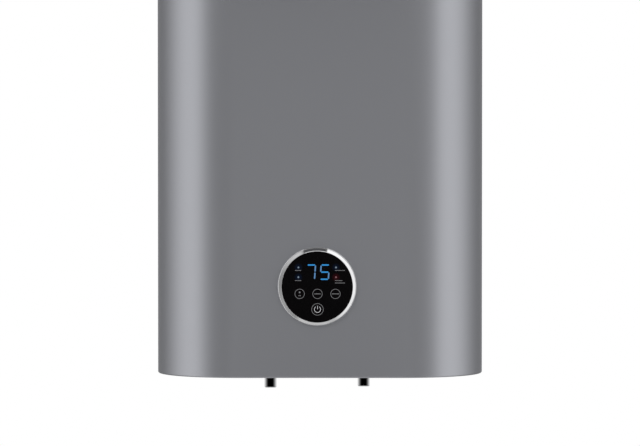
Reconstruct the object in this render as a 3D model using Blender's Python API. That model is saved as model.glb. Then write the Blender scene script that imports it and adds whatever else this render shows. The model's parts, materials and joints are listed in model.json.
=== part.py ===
"""Wall-hung electric water heater: two enamelled tanks side by side in one flat casing.

+Z is up, +Y points into the wall and the control panel faces -Y. The origin is the centre of the
upper wall bracket's face, where it lies against the wall. Every size is in metres.

Inside the script the pieces are placed in the casing's own frame, whose origin is the middle of
the casing's bottom edge plane: x across, y from front to back, z up from the bottom edge.
"""

import math

import bmesh
import bpy
from mathutils import Matrix, Vector

# Fits shared by every piece
GAP = 0.0003
OVERRUN = 0.004
MERGE_DISTANCE = 1e-6
SMOOTH_ANGLE = math.radians(35)
HEX_SIDES = 6
SCREW_SEGMENTS = 8
BOLT_SEGMENTS = 10
ROD_SEGMENTS = 12

# Tanks
TANK_RADIUS = 0.120
TANK_WALL = 0.0015
DOME_HEIGHT = 0.050
COLLAR_RADIUS = 0.037
COLLAR_BORE_RADIUS = 0.027
COLLAR_HEIGHT = 0.012
CROSSOVER_RADIUS = 0.008
CROSSOVER_BORE_RADIUS = 0.0066
CROSSOVER_CLEARANCE = 0.009
CROSSOVER_BEND_RADIUS = 0.013
CROSSOVER_REACH = 0.010
CROSSOVER_INSET = 0.075
TANK_SEGMENTS = 24
DOME_STEPS = 4
PIPE_SIDES = 8
BEND_STEPS = 3

# Casing
INSULATION = 0.021
CASING_HEIGHT = 0.860
CASING_SHEET = 0.001
RIM_RADIUS = 0.003
RIM_LIP = 0.006
TOP_SPACE = 0.048
TOP_CAP_RISE = 0.014
TOP_CAP_EDGE_RADIUS = 0.012
TOP_CAP_WALL = 0.002
TOP_CAP_SPIGOT = 0.012
CAP_SHEET = 0.0015
CAP_SKIRT_INSET = 0.0005
FOAM_LIFT = 0.005
END_STEPS = 12
EDGE_STEPS = 2

# Service cover under the casing
OPENING_MARGIN = 0.019
COVER_LEDGE = 0.004
COVER_FLANGE = 0.011
COVER_DEPTH = 0.013
COVER_INSET = 0.003
COVER_SHEET = 0.0015
COVER_EDGE_RADIUS = 0.004
COVER_SCREW_SPACING = 0.200
SCREW_RADIUS = 0.0019
SCREW_HEAD_RADIUS = 0.0037
SCREW_HEAD_HEIGHT = 0.0024
SCREW_LENGTH = 0.012
RING_CLEARANCE = 0.0005
RING_WALL = 0.0015
RING_FLANGE = 0.005
RING_THICKNESS = 0.0018

# Cable gland beside the service cover
GLAND_X = 0.030
GLAND_BORE_RADIUS = 0.0045
GLAND_BODY_RADIUS = 0.008
GLAND_FLATS = 0.022
GLAND_HEX_HEIGHT = 0.006
GLAND_NOSE_HEIGHT = 0.007
GLAND_THREAD_LENGTH = 0.012
GLAND_NUT_HEIGHT = 0.005

# Wall brackets
BRACKET_STANDOFF = 0.012
BRACKET_SHEET = 0.0025
BRACKET_HEIGHT = 0.050
BRACKET_FOOT_REACH = 0.028
BRACKET_JOGGLE_INSET = 0.022
BRACKET_JOGGLE = 0.015
UPPER_BRACKET_DROP = 0.190
LOWER_BRACKET_RISE = 0.190
SLOT_SPACING = 0.120
SLOT_WIDTH = 0.011
SLOT_HEIGHT = 0.026
BOLT_RADIUS = 0.004
BOLT_HEAD_FLATS = 0.013
BOLT_HEAD_HEIGHT = 0.0053
BOLT_TIP_CLEARANCE = 0.002
BOSS_RADIUS = 0.009

# Flanges under the tanks
FLANGE_PLATE_THICKNESS = 0.005
FLANGE_BOLT_CIRCLE_RADIUS = 0.032
FLANGE_BOLT_RADIUS = 0.0025
FLANGE_BOLT_FLATS = 0.008
FLANGE_BOLT_HEAD_HEIGHT = 0.0035
FLANGE_BOLT_GRIP = 0.008
GASKET_WALL = 0.0017
GASKET_LIP = 0.0017
GASKET_THICKNESS = 0.002
GASKET_SPIGOT = 0.004
ELEMENT_RADIUS = 0.004
ELEMENT_LEG_OFFSET = 0.015
ELEMENT_LENGTH = 0.300
TERMINAL_RADIUS = 0.0018
TERMINAL_SLEEVE = 0.006
TERMINAL_LENGTH = 0.008
ROD_OFFSET = 0.014
ANODE_RADIUS = 0.009
ANODE_STUD_RADIUS = 0.004
ANODE_LENGTH = 0.250
ANODE_LIFT = 0.008
ROD_HEAD_RADIUS = 0.0065
ROD_HEAD_HEIGHT = 0.004
WELL_RADIUS = 0.005
WELL_BORE_RADIUS = 0.0038
WELL_LENGTH = 0.220
FLANGE_SEGMENTS = 20
BOLT_COUNT = 4

# Water pipes
PIPE_RADIUS = 0.0104775
PIPE_BORE_RADIUS = 0.007
PORT_GAP = 0.0095225
SERVICE_SHIFT = 0.005
PIPE_INSIDE = 0.012
HOT_PIPE_DROP = 0.0258
COLD_PIPE_DROP = 0.0237
RISER_WALL = 0.0012
RISER_SOCKET = 0.060
RISER_TOP_CLEARANCE = 0.020
DIFFUSER_WALL = 0.0015
DIFFUSER_OVERLAP = 0.008
DIFFUSER_HEADROOM = 0.018
DIFFUSER_SLOT_WIDTH = 0.008
DIFFUSER_SLOT_HEIGHT = 0.010
PORT_SEGMENTS = 20

# Control panel on the front
CONTROL_HEIGHT = 0.1536
GLASS_RADIUS = 0.0585
GLASS_THICKNESS = 0.0025
BEZEL_BAND = 0.0075
BEZEL_SKIRT = 0.0011
BEZEL_CROWN = 0.0012
BEZEL_EDGE_RADIUS = 0.0025
HOUSING_MARGIN = 0.0015
HOLE_CLEARANCE = 0.0005
HOUSING_WALL = 0.003
HOUSING_DEPTH = 0.026
HOUSING_FLOOR = 0.002
HOUSING_FLANGE = 0.0015
HOUSING_GASKET = 0.001
BOARD_SHELF_WIDTH = 0.007
BOARD_SHELF_THICKNESS = 0.002
BOARD_THICKNESS = 0.0016
MARK_THICKNESS = 0.0003
MODULE_DEPTH = 0.008
MODULE_BORDER = 0.0015
DISPLAY_X = 0.0018
DISPLAY_Y = 0.0237
DIGIT_PITCH = 0.0214
DIGIT_WIDTH = 0.016
DIGIT_HEIGHT = 0.0276
DIGIT_STROKE = 0.0032
DIGIT_SPLIT = 0.0004
DIGIT_SLANT = math.radians(4)
LED_CLEARANCE = 0.0095
LED_PITCH = 0.0164
LED_SIZE = 0.003
LED_HEIGHT = 0.0015
WINDOW_RADIUS = 0.002
KEY_RADIUS = 0.00935
POWER_KEY_RADIUS = 0.011
KEY_STROKE = 0.0016
KEY_PLACE_SHARES = ((-0.497, -0.217), (0.014, -0.217), (0.528, -0.217))
POWER_KEY_PLACE_SHARE = (0.014, -0.658)
POWER_SIGN_RADIUS = 0.0055
POWER_SIGN_STROKE = 0.0018
POWER_SIGN_OPENING = math.radians(70)
SPRING_RADIUS = 0.004
SPRING_WALL = 0.001
BOARD_SCREW_RADIUS = 0.0012
BOARD_SCREW_HEAD_RADIUS = 0.0024
BOARD_SCREW_HEAD_HEIGHT = 0.0015
BOARD_SCREW_GRIP = 0.0015
BOARD_SCREW_COUNT = 3
CABLE_PORT_RADIUS = 0.005
HARNESS_RADIUS = 0.002
PANEL_SEGMENTS = 32
MARK_SEGMENTS = 12

# Electrics in the service space
BRIDGE_HEIGHT = 0.040
BRIDGE_SHEET = 0.0015
BRIDGE_WIDTH = 0.110
BRIDGE_FOOT = 0.014
BRIDGE_TO_COLLAR = 0.016
BRIDGE_WINDOW_WIDTH = 0.018
BRIDGE_WINDOW_HEIGHT = 0.020
BRIDGE_MARGIN = 0.006
POWER_BOARD_SHARE = 0.64
SPACER_RADIUS = 0.0028
SPACER_LENGTH = 0.006
SPACER_INSET = 0.005
RELAY_SIZE = (0.018, 0.014, 0.016)
RELAY_EDGE_GAP = 0.008
RELAY_SPACING = 0.036
TRANSFORMER_SIZE = (0.026, 0.030, 0.021)
TERMINAL_BLOCK_SIZE = (0.028, 0.034, 0.015)
TERMINAL_SCREW_RADIUS = 0.0026
TERMINAL_SCREW_DEPTH = 0.003
TERMINAL_POLES = 3
DEVICE_SPREAD = 0.024
CUTOUT_RADIUS = 0.014
CUTOUT_HEIGHT = 0.016
CUTOUT_NECK_RADIUS = 0.006
CUTOUT_NECK_HEIGHT = 0.006
BUTTON_RADIUS = 0.003
BUTTON_CLEARANCE = 0.0004
BUTTON_LENGTH = 0.009
BUTTON_PROUD = 0.001
POWER_WIRE_RADIUS = 0.0014
THIN_WIRE_RADIUS = 0.001
WIRE_DROP = 0.007
WIRE_CLEARANCE = 0.003

# Sizes that follow from those above
CASING_RADIUS = TANK_RADIUS + INSULATION
HALF_FLAT = TANK_RADIUS + CROSSOVER_RADIUS + CROSSOVER_CLEARANCE
CASING_INNER_RADIUS = CASING_RADIUS - CASING_SHEET
SHELL_TOP = CASING_HEIGHT - TOP_CAP_RISE
CAP_LEVEL = COVER_DEPTH + COVER_INSET
CAP_TOP = CAP_LEVEL + CAP_SHEET
BRIDGE_TOP = CAP_TOP + BRIDGE_HEIGHT
COLLAR_LEVEL = BRIDGE_TOP + BRIDGE_TO_COLLAR
FOAM_BOTTOM = COLLAR_LEVEL + FOAM_LIFT
FOAM_TOP = SHELL_TOP - TOP_CAP_SPIGOT - GAP
OPENING_RADIUS = COLLAR_RADIUS + OPENING_MARGIN
DISH_RADIUS = OPENING_RADIUS + COVER_LEDGE
COVER_RADIUS = DISH_RADIUS + COVER_FLANGE
CAP_SKIRT_RADIUS = CASING_INNER_RADIUS - RIM_RADIUS + CASING_SHEET - CAP_SKIRT_INSET
DOME_LEVEL = COLLAR_LEVEL + COLLAR_HEIGHT + DOME_HEIGHT
TANK_TOP = CASING_HEIGHT - TOP_SPACE
PORT_INSET = COLLAR_RADIUS + PORT_GAP + PIPE_RADIUS
HOT_PIPE_X = -HALF_FLAT + PORT_INSET - SERVICE_SHIFT
COLD_PIPE_X = HALF_FLAT - PORT_INSET - SERVICE_SHIFT
PLATE_TOP = COLLAR_LEVEL - 2 * GAP - GASKET_THICKNESS
PLATE_BOTTOM = PLATE_TOP - FLANGE_PLATE_THICKNESS
UPPER_BRACKET_LEVEL = CASING_HEIGHT - UPPER_BRACKET_DROP
BOLT_LEVELS = (UPPER_BRACKET_LEVEL, LOWER_BRACKET_RISE)
WALL_Y = CASING_RADIUS + BRACKET_STANDOFF
FOOT_BACK_Y = CASING_RADIUS + GAP + BRACKET_SHEET

# Levels of the control panel, measured outwards from the casing's front face
HOUSING_RADIUS = GLASS_RADIUS + HOUSING_MARGIN
PANEL_HOLE_RADIUS = HOUSING_RADIUS + HOLE_CLEARANCE
BEZEL_RADIUS = GLASS_RADIUS + BEZEL_BAND
HOUSING_FLANGE_RADIUS = BEZEL_RADIUS - BEZEL_SKIRT - GAP
FLANGE_BASE = 2 * GAP + HOUSING_GASKET
GLASS_BASE = FLANGE_BASE + HOUSING_FLANGE + GAP
GLASS_FACE = GLASS_BASE + GLASS_THICKNESS
HOUSING_INNER_RADIUS = HOUSING_RADIUS - HOUSING_WALL
BOARD_FACE = GLASS_BASE - 2 * GAP - MODULE_DEPTH
BOARD_BASE = BOARD_FACE - BOARD_THICKNESS
SHELF_FACE = BOARD_BASE - GAP
LED_X = DISPLAY_X + DIGIT_PITCH / 2 + DIGIT_WIDTH / 2 + MODULE_BORDER + LED_CLEARANCE

# Levels of the electrics, which hang under the bridge
BRIDGE_UNDER = BRIDGE_TOP - BRIDGE_SHEET
POWER_BOARD_TOP = BRIDGE_UNDER - 2 * GAP - SPACER_LENGTH
POWER_BOARD_UNDER = POWER_BOARD_TOP - BOARD_THICKNESS
BRIDGE_LEG_Y = OPENING_RADIUS + BRIDGE_MARGIN
BRIDGE_LEFT = -SERVICE_SHIFT - BRIDGE_WIDTH / 2
BRIDGE_RIGHT = -SERVICE_SHIFT + BRIDGE_WIDTH / 2
POWER_BOARD_LENGTH = BRIDGE_WIDTH * POWER_BOARD_SHARE
POWER_BOARD_HALF_WIDTH = BRIDGE_LEG_Y - BRIDGE_SHEET - 2 * BRIDGE_MARGIN
POWER_BOARD_X = BRIDGE_LEFT + POWER_BOARD_LENGTH / 2
POWER_BOARD_RIGHT = BRIDGE_LEFT + POWER_BOARD_LENGTH
DEVICE_X = (POWER_BOARD_RIGHT + BRIDGE_RIGHT) / 2


def clear_scene():
    for thing in list(bpy.data.objects):
        bpy.data.objects.remove(thing, do_unlink=True)


def make_material(name, colour, roughness, metallic):
    material = bpy.data.materials.new(name)
    material.use_nodes = True
    shader = material.node_tree.nodes["Principled BSDF"]
    shader.inputs["Base Color"].default_value = (*colour, 1.0)
    shader.inputs["Roughness"].default_value = roughness
    shader.inputs["Metallic"].default_value = metallic
    return material


def frame(name, location, rotation=(0.0, 0.0, 0.0), parent=None):
    """An empty that carries pieces in its own coordinates."""
    empty = bpy.data.objects.new(name, None)
    empty.parent = parent
    empty.location = location
    empty.rotation_euler = rotation
    bpy.context.scene.collection.objects.link(empty)
    return empty


def piece(name, shape, look, parent, location=(0.0, 0.0, 0.0)):
    """A named object made from a bmesh, shaded smooth except at its sharp edges."""
    mesh = bpy.data.meshes.new(name)
    bmesh.ops.recalc_face_normals(shape, faces=shape.faces)
    shape.to_mesh(mesh)
    shape.free()
    mesh.shade_smooth()
    mesh.set_sharp_from_angle(angle=SMOOTH_ANGLE)
    mesh.materials.append(make_material(name + "_look", *look))
    thing = bpy.data.objects.new(name, mesh)
    thing.parent = parent
    thing.location = location
    bpy.context.scene.collection.objects.link(thing)
    return thing


def helper(name, shape, parent, location=(0.0, 0.0, 0.0)):
    """A shape that only cuts other pieces or is joined to one of them."""
    thing = piece("helper_" + name, shape, HELPER_LOOK, parent, location)
    thing.hide_render = True
    thing.display_type = "WIRE"
    return thing


def cut(thing, *tools):
    for tool in tools:
        combine(thing, tool, "DIFFERENCE")


def combine(thing, tool, operation):
    modifier = thing.modifiers.new(tool.name, "BOOLEAN")
    modifier.operation = operation
    modifier.solver = "EXACT"
    modifier.object = tool


def join_shapes(shapes):
    """One bmesh that holds every shape as its own solid."""
    whole = bmesh.new()
    for shape in shapes:
        copy = bpy.data.meshes.new("copy")
        shape.to_mesh(copy)
        shape.free()
        whole.from_mesh(copy)
        bpy.data.meshes.remove(copy)
    return whole


def moved(shape, offset):
    bmesh.ops.translate(shape, verts=shape.verts, vec=offset)
    return shape


def rolled(shape, angle, axis):
    """The shape turned about the X, Y or Z axis."""
    turn = Matrix.Rotation(angle, 3, axis)
    bmesh.ops.rotate(shape, verts=shape.verts, cent=(0.0, 0.0, 0.0), matrix=turn)
    return shape


def box(size, centre=(0.0, 0.0, 0.0)):
    shape = bmesh.new()
    bmesh.ops.create_cube(shape, size=1)
    bmesh.ops.scale(shape, verts=shape.verts, vec=size)
    return moved(shape, centre)


def rod(radius, bottom, top, segments):
    """A cylinder on the Z axis between two heights."""
    return turned(((0.0, bottom), (radius, bottom), (radius, top), (0.0, top)), segments)


def turned(profile, segments, ring=False):
    """A solid turned about Z from (radius, height) points. A ring's profile closes on itself.

    A flat facet, not an edge, faces each of the X and Y axes where segments is a multiple of four.
    """
    shape = bmesh.new()
    points = [shape.verts.new((radius, 0.0, height)) for radius, height in profile]
    pairs = list(zip(points, points[1:]))
    if ring:
        pairs.append((points[-1], points[0]))
    edges = [shape.edges.new(pair) for pair in pairs]
    bmesh.ops.spin(
        shape,
        geom=points + edges,
        axis=(0.0, 0.0, 1.0),
        cent=(0.0, 0.0, 0.0),
        angle=math.tau,
        steps=segments,
        use_merge=True,
    )
    bmesh.ops.remove_doubles(shape, verts=shape.verts, dist=MERGE_DISTANCE)
    bmesh.ops.recalc_face_normals(shape, faces=shape.faces)
    return rolled(shape, math.pi / segments, "Z")


def skin(rings, closed=False):
    """A solid through rings of points. It is capped at both ends, or closed into a loop."""
    shape = bmesh.new()
    loops = [[shape.verts.new(point) for point in ring] for ring in rings]
    pairs = list(zip(loops, loops[1:]))
    if closed:
        pairs.append((loops[-1], loops[0]))
    else:
        shape.faces.new(loops[0])
        shape.faces.new(loops[-1])
    for first, second in pairs:
        for index in range(len(first)):
            after = (index + 1) % len(first)
            shape.faces.new((first[index], first[after], second[after], second[index]))
    bmesh.ops.recalc_face_normals(shape, faces=shape.faces)
    return shape


def oval(radius, height):
    """A flat-sided oval: two half circles joined by the casing's straight sides along X."""
    points = []
    for end, start in ((HALF_FLAT, -math.pi / 2), (-HALF_FLAT, math.pi / 2)):
        for step in range(END_STEPS + 1):
            angle = start + math.pi * step / END_STEPS
            points.append((end + radius * math.cos(angle), radius * math.sin(angle), height))
    return points


def oval_solid(levels, closed=False):
    """A solid through ovals given as (radius, height)."""
    return skin([oval(radius, height) for radius, height in levels], closed)


def arc(centre, radius, start, end, steps):
    """Points along a quarter turn or other arc in a (radius, height) plane."""
    across, height = centre
    angles = [start + (end - start) * step / steps for step in range(steps + 1)]
    return [(across + radius * math.cos(a), height + radius * math.sin(a)) for a in angles]


def swept(path, radii, sides):
    """A round bar along a path, with its own radius at each point."""
    return skin(sweep_rings(path, radii, sides))


def sweep_rings(path, radii, sides):
    points = [Vector(point) for point in path]
    rings = []
    across = None
    for index, point in enumerate(points):
        before = points[max(index - 1, 0)]
        after = points[min(index + 1, len(points) - 1)]
        along = (after - before).normalized()
        across = along.orthogonal() if across is None else across - along * across.dot(along)
        across.normalize()
        other = along.cross(across)
        turns = [math.tau * side / sides for side in range(sides)]
        rings.append([point + (across * math.cos(t) + other * math.sin(t)) * radii[index] for t in turns])
    return rings


def hollow_pipe(path, radius, bore_radius, sides):
    """A bent pipe, open at both ends."""
    outer = sweep_rings(path, [radius] * len(path), sides)
    inner = sweep_rings(path, [bore_radius] * len(path), sides)
    return skin(outer + inner[::-1], closed=True)


def prism(outline, bottom, top):
    """A flat outline of (x, y) points, raised from one height to another."""
    return skin([[(x, y, height) for x, y in outline] for height in (bottom, top)])


def hex_bolt(flats, head_height, shank_radius, shank_length):
    """A bolt whose head stands on z = 0 and whose shank points down."""
    head_radius = flats / math.sqrt(3)
    profile = (
        (0.0, head_height),
        (head_radius, head_height),
        (head_radius, 0.0),
        (shank_radius, 0.0),
        (shank_radius, -shank_length),
        (0.0, -shank_length),
    )
    return turned(profile, HEX_SIDES)


def bent_strip(path, width, thickness):
    """A strip of sheet along (across, height) points, its thickness laid to the path's left."""
    points = [Vector(point) for point in path]
    inner = []
    for index, point in enumerate(points):
        sides = []
        for first, second in ((index - 1, index), (index, index + 1)):
            if first >= 0 and second < len(points):
                along = (points[second] - points[first]).normalized()
                sides.append(Vector((-along.y, along.x)))
        middle = sum(sides, Vector((0.0, 0.0))).normalized()
        inner.append(point + middle * thickness / middle.dot(sides[0]))
    outline = points + inner[::-1]
    return prism([(point.x, point.y) for point in outline], -width / 2, width / 2)


def wire(name, route, radius, look, parent):
    """A soft wire: one smooth curve through its points."""
    curve = bpy.data.curves.new(name, "CURVE")
    curve.dimensions = "3D"
    curve.bevel_depth = radius
    curve.bevel_resolution = 1
    curve.resolution_u = 2
    curve.use_fill_caps = True
    spline = curve.splines.new("BEZIER")
    spline.bezier_points.add(len(route) - 1)
    for point, place in zip(spline.bezier_points, route):
        point.co = place
        point.handle_left_type = "AUTO"
        point.handle_right_type = "AUTO"
    curve.materials.append(make_material(name + "_look", *look))
    thing = bpy.data.objects.new(name, curve)
    thing.parent = parent
    bpy.context.scene.collection.objects.link(thing)
    return thing


# Colours as linear red, green and blue, with roughness and metallic value
HELPER_LOOK = ((0.8, 0.1, 0.1), 0.5, 0.0)
SILVER_PAINT = ((0.18, 0.183, 0.195), 0.38, 0.7)
GREY_PLASTIC = ((0.20, 0.20, 0.21), 0.55, 0.0)
DARK_PLASTIC = ((0.03, 0.03, 0.032), 0.5, 0.0)
BLACK_GLASS = ((0.004, 0.004, 0.005), 0.06, 0.0)
CHROME = ((0.75, 0.75, 0.76), 0.12, 1.0)
STEEL = ((0.55, 0.55, 0.56), 0.35, 1.0)
ZINC = ((0.45, 0.46, 0.48), 0.45, 1.0)
ENAMEL = ((0.02, 0.03, 0.09), 0.3, 0.0)
FOAM = ((0.85, 0.74, 0.45), 0.9, 0.0)
RUBBER = ((0.03, 0.03, 0.03), 0.8, 0.0)
COPPER = ((0.72, 0.36, 0.22), 0.3, 1.0)
MAGNESIUM = ((0.5, 0.5, 0.5), 0.6, 1.0)
BOARD_GREEN = ((0.01, 0.16, 0.05), 0.5, 0.0)
RED_PLASTIC = ((0.55, 0.02, 0.02), 0.45, 0.0)
BLUE_PLASTIC = ((0.02, 0.08, 0.50), 0.45, 0.0)
WHITE_PLASTIC = ((0.80, 0.80, 0.78), 0.5, 0.0)
BROWN_WIRE = ((0.20, 0.07, 0.02), 0.5, 0.0)
EARTH_WIRE = ((0.25, 0.45, 0.02), 0.5, 0.0)
GREY_WIRE = ((0.35, 0.35, 0.35), 0.5, 0.0)


def pipe_hole(x, radius, bottom, top, name, parent):
    """A round hole's shape on a water pipe's line."""
    return helper(name, rod(radius, bottom, top, PORT_SEGMENTS), parent, (x, 0.0, 0.0))


def dome_level(distance):
    """Height of a tank's lower dome at a distance from the tank's axis."""
    return DOME_LEVEL - DOME_HEIGHT * math.sqrt(1 - (distance / TANK_RADIUS) ** 2)


def dome_curve(radius, height, level, start, end):
    """Points along an elliptical dome from one polar angle to another."""
    angles = [start + (end - start) * step / DOME_STEPS for step in range(DOME_STEPS + 1)]
    return [(radius * math.cos(a), level + height * math.sin(a)) for a in angles]


def tank_outside(growth):
    """The outside of a tank with its collar, grown all round, as a closed profile to the axis."""
    radius = TANK_RADIUS + growth
    height = DOME_HEIGHT + growth
    collar = COLLAR_RADIUS + growth
    seam = -math.acos(collar / radius)
    lower = dome_curve(radius, height, DOME_LEVEL, seam, 0.0)
    upper = dome_curve(radius, height, TANK_TOP - DOME_HEIGHT, 0.0, math.pi / 2)
    return [(collar, COLLAR_LEVEL - growth)] + lower + upper[:-1] + [(0.0, upper[-1][1])]


def build_tank(name, side, parent):
    """A tank with its welded collar, and the two threaded bosses that hang it on the brackets."""
    radius = TANK_RADIUS - TANK_WALL
    height = DOME_HEIGHT - TANK_WALL
    seam = -math.acos(COLLAR_BORE_RADIUS / radius)
    upper = dome_curve(radius, height, TANK_TOP - DOME_HEIGHT, math.pi / 2, 0.0)
    lower = dome_curve(radius, height, DOME_LEVEL, 0.0, seam)
    inside = [(0.0, upper[0][1])] + upper[1:] + lower + [(COLLAR_BORE_RADIUS, COLLAR_LEVEL)]
    shape = turned(inside + tank_outside(0.0), TANK_SEGMENTS)
    tank = piece(name, shape, ENAMEL, parent, (side * HALF_FLAT, 0.0, 0.0))
    boss = (
        (0.0, tank_back() - TANK_WALL / 2),
        (BOSS_RADIUS, tank_back() - TANK_WALL / 2),
        (BOSS_RADIUS, boss_face()),
        (BOLT_RADIUS + GAP, boss_face()),
        (BOLT_RADIUS + GAP, bolt_tip() - GAP),
        (0.0, bolt_tip() - GAP),
    )
    bosses = [
        moved(rolled(turned(boss, ROD_SEGMENTS), -math.pi / 2, "X"), (0.0, 0.0, level))
        for level in BOLT_LEVELS
    ]
    combine(tank, helper(name + "_bosses", join_shapes(bosses), parent, tank.location), "UNION")
    bolts = [
        moved(rod(FLANGE_BOLT_RADIUS + GAP, -OVERRUN, FLANGE_BOLT_GRIP + GAP, SCREW_SEGMENTS), place)
        for place in bolt_places(COLLAR_LEVEL)
    ]
    cut(tank, helper(name + "_bolt_holes", join_shapes(bolts), parent, tank.location))
    return tank


def tank_back():
    """Distance from a tank's axis to the flat facet on its rear."""
    return TANK_RADIUS * math.cos(math.pi / TANK_SEGMENTS)


def boss_face():
    """Where a boss ends, just clear of the casing sheet where its back turns into its round end."""
    return CASING_INNER_RADIUS - GAP - BOSS_RADIUS * math.tan(math.pi / END_STEPS / 2)


def bolt_tip():
    return tank_back() + BOLT_TIP_CLEARANCE


def bolt_places(level):
    """Where the flange bolts stand round a tank's axis."""
    turns = [math.tau * (index + 1 / 2) / BOLT_COUNT for index in range(BOLT_COUNT)]
    radius = FLANGE_BOLT_CIRCLE_RADIUS
    return [(radius * math.cos(turn), radius * math.sin(turn), level) for turn in turns]


def crossover_path(extension):
    """From inside the cold tank's top, down between the tanks, to inside the hot tank's bottom."""
    bend = CROSSOVER_BEND_RADIUS
    reach = HALF_FLAT - TANK_RADIUS + CROSSOVER_REACH + extension
    top = TANK_TOP - CROSSOVER_INSET
    bottom = DOME_LEVEL + CROSSOVER_INSET
    upper = arc((bend, top - bend), bend, math.pi / 2, math.pi, BEND_STEPS)
    lower = arc((-bend, bottom + bend), bend, 0.0, -math.pi / 2, BEND_STEPS)
    return [(x, 0.0, z) for x, z in [(reach, top)] + upper + lower + [(-reach, bottom)]]


def build_tanks(casing):
    cold = build_tank("cold_tank", 1, casing)
    hot = build_tank("hot_tank", -1, casing)
    path = crossover_path(0.0)
    shape = hollow_pipe(path, CROSSOVER_RADIUS, CROSSOVER_BORE_RADIUS, PIPE_SIDES)
    piece("crossover_pipe", shape, STEEL, casing)
    longer = crossover_path(OVERRUN)
    grown = [CROSSOVER_RADIUS + GAP] * len(longer)
    way = helper("crossover_way", swept(longer, grown, PIPE_SIDES), casing)
    cold_way = pipe_hole(COLD_PIPE_X, PIPE_RADIUS + GAP, 0.0, DOME_LEVEL, "cold_pipe_way", casing)
    hot_way = pipe_hole(HOT_PIPE_X, PIPE_RADIUS + GAP, 0.0, DOME_LEVEL, "hot_pipe_way", casing)
    cut(cold, way, cold_way)
    cut(hot, way, hot_way)
    return way, cold_way, hot_way


def build_pipes(casing):
    cold_top = dome_level(HALF_FLAT - COLD_PIPE_X + PIPE_RADIUS + DIFFUSER_WALL) + PIPE_INSIDE
    hot_top = dome_level(HALF_FLAT + HOT_PIPE_X + PIPE_RADIUS) + PIPE_INSIDE
    for name, x, drop, top in (
        ("cold_inlet_pipe", COLD_PIPE_X, COLD_PIPE_DROP, cold_top),
        ("hot_outlet_pipe", HOT_PIPE_X, HOT_PIPE_DROP, hot_top),
    ):
        profile = (
            (PIPE_RADIUS, -drop),
            (PIPE_RADIUS, top),
            (PIPE_BORE_RADIUS, top),
            (PIPE_BORE_RADIUS, -drop),
        )
        piece(name, turned(profile, PORT_SEGMENTS, ring=True), CHROME, casing, (x, 0.0, 0.0))
    riser_radius = PIPE_BORE_RADIUS - GAP
    riser_bottom = hot_top - RISER_SOCKET
    riser_top = TANK_TOP - DOME_HEIGHT - RISER_TOP_CLEARANCE
    riser = (
        (riser_radius, riser_bottom),
        (riser_radius, riser_top),
        (riser_radius - RISER_WALL, riser_top),
        (riser_radius - RISER_WALL, riser_bottom),
    )
    place = (HOT_PIPE_X, 0.0, 0.0)
    piece("hot_riser", turned(riser, ROD_SEGMENTS, ring=True), WHITE_PLASTIC, casing, place)
    build_diffuser(casing, cold_top)


def build_diffuser(casing, pipe_top):
    """A slotted cap over the cold pipe's end, which spreads the incoming water sideways."""
    inner = PIPE_RADIUS + GAP
    outer = inner + DIFFUSER_WALL
    bottom = pipe_top - DIFFUSER_OVERLAP
    ceiling = pipe_top + DIFFUSER_HEADROOM
    profile = (
        (0.0, ceiling),
        (inner, ceiling),
        (inner, bottom),
        (outer, bottom),
        (outer, ceiling + DIFFUSER_WALL),
        (0.0, ceiling + DIFFUSER_WALL),
    )
    shape = turned(profile, PORT_SEGMENTS)
    diffuser = piece("cold_diffuser", shape, WHITE_PLASTIC, casing, (COLD_PIPE_X, 0.0, 0.0))
    slot_level = (pipe_top + ceiling) / 2
    reach = 2 * (outer + OVERRUN)
    slots = [
        box((reach, DIFFUSER_SLOT_WIDTH, DIFFUSER_SLOT_HEIGHT), (0.0, 0.0, slot_level)),
        box((DIFFUSER_SLOT_WIDTH, reach, DIFFUSER_SLOT_HEIGHT), (0.0, 0.0, slot_level)),
    ]
    for index, slot in enumerate(slots):
        cut(diffuser, helper(f"diffuser_slot_{index}", slot, casing, diffuser.location))


def build_flange(name, side, casing):
    """The plate under one tank, with its seal, bolts, heating element, anode and sensor pocket."""
    tank = frame(name + "_tank_axis", (side * HALF_FLAT, 0.0, 0.0), parent=casing)
    plate_profile = (
        (0.0, PLATE_BOTTOM),
        (COLLAR_RADIUS, PLATE_BOTTOM),
        (COLLAR_RADIUS, PLATE_TOP),
        (0.0, PLATE_TOP),
    )
    plate = piece(name + "_flange_plate", turned(plate_profile, FLANGE_SEGMENTS), ZINC, tank)
    bolts = []
    for place in bolt_places(PLATE_BOTTOM + GAP):
        length = FLANGE_PLATE_THICKNESS + GASKET_THICKNESS + FLANGE_BOLT_GRIP
        bolt = hex_bolt(FLANGE_BOLT_FLATS, FLANGE_BOLT_HEAD_HEIGHT, FLANGE_BOLT_RADIUS, length)
        bolts.append(moved(rolled(bolt, math.pi, "X"), place))
    combine(plate, helper(name + "_flange_bolts", join_shapes(bolts), tank), "UNION")
    low, high = PLATE_BOTTOM - OVERRUN, PLATE_TOP + OVERRUN
    holes = []
    for leg in (-1, 1):
        hole = rod(ELEMENT_RADIUS + GAP, low, high, ROD_SEGMENTS)
        holes.append(moved(hole, (0.0, leg * ELEMENT_LEG_OFFSET, 0.0)))
    for radius, x in ((ANODE_STUD_RADIUS, side * ROD_OFFSET), (WELL_RADIUS, -side * ROD_OFFSET)):
        holes.append(moved(rod(radius + GAP, low, high, ROD_SEGMENTS), (x, 0.0, 0.0)))
    cut(plate, helper(name + "_plate_holes", join_shapes(holes), tank))
    build_flange_gasket(name, tank)
    build_element(name, tank)
    build_anode(name, side, tank)
    build_well(name, side, tank)


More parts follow.
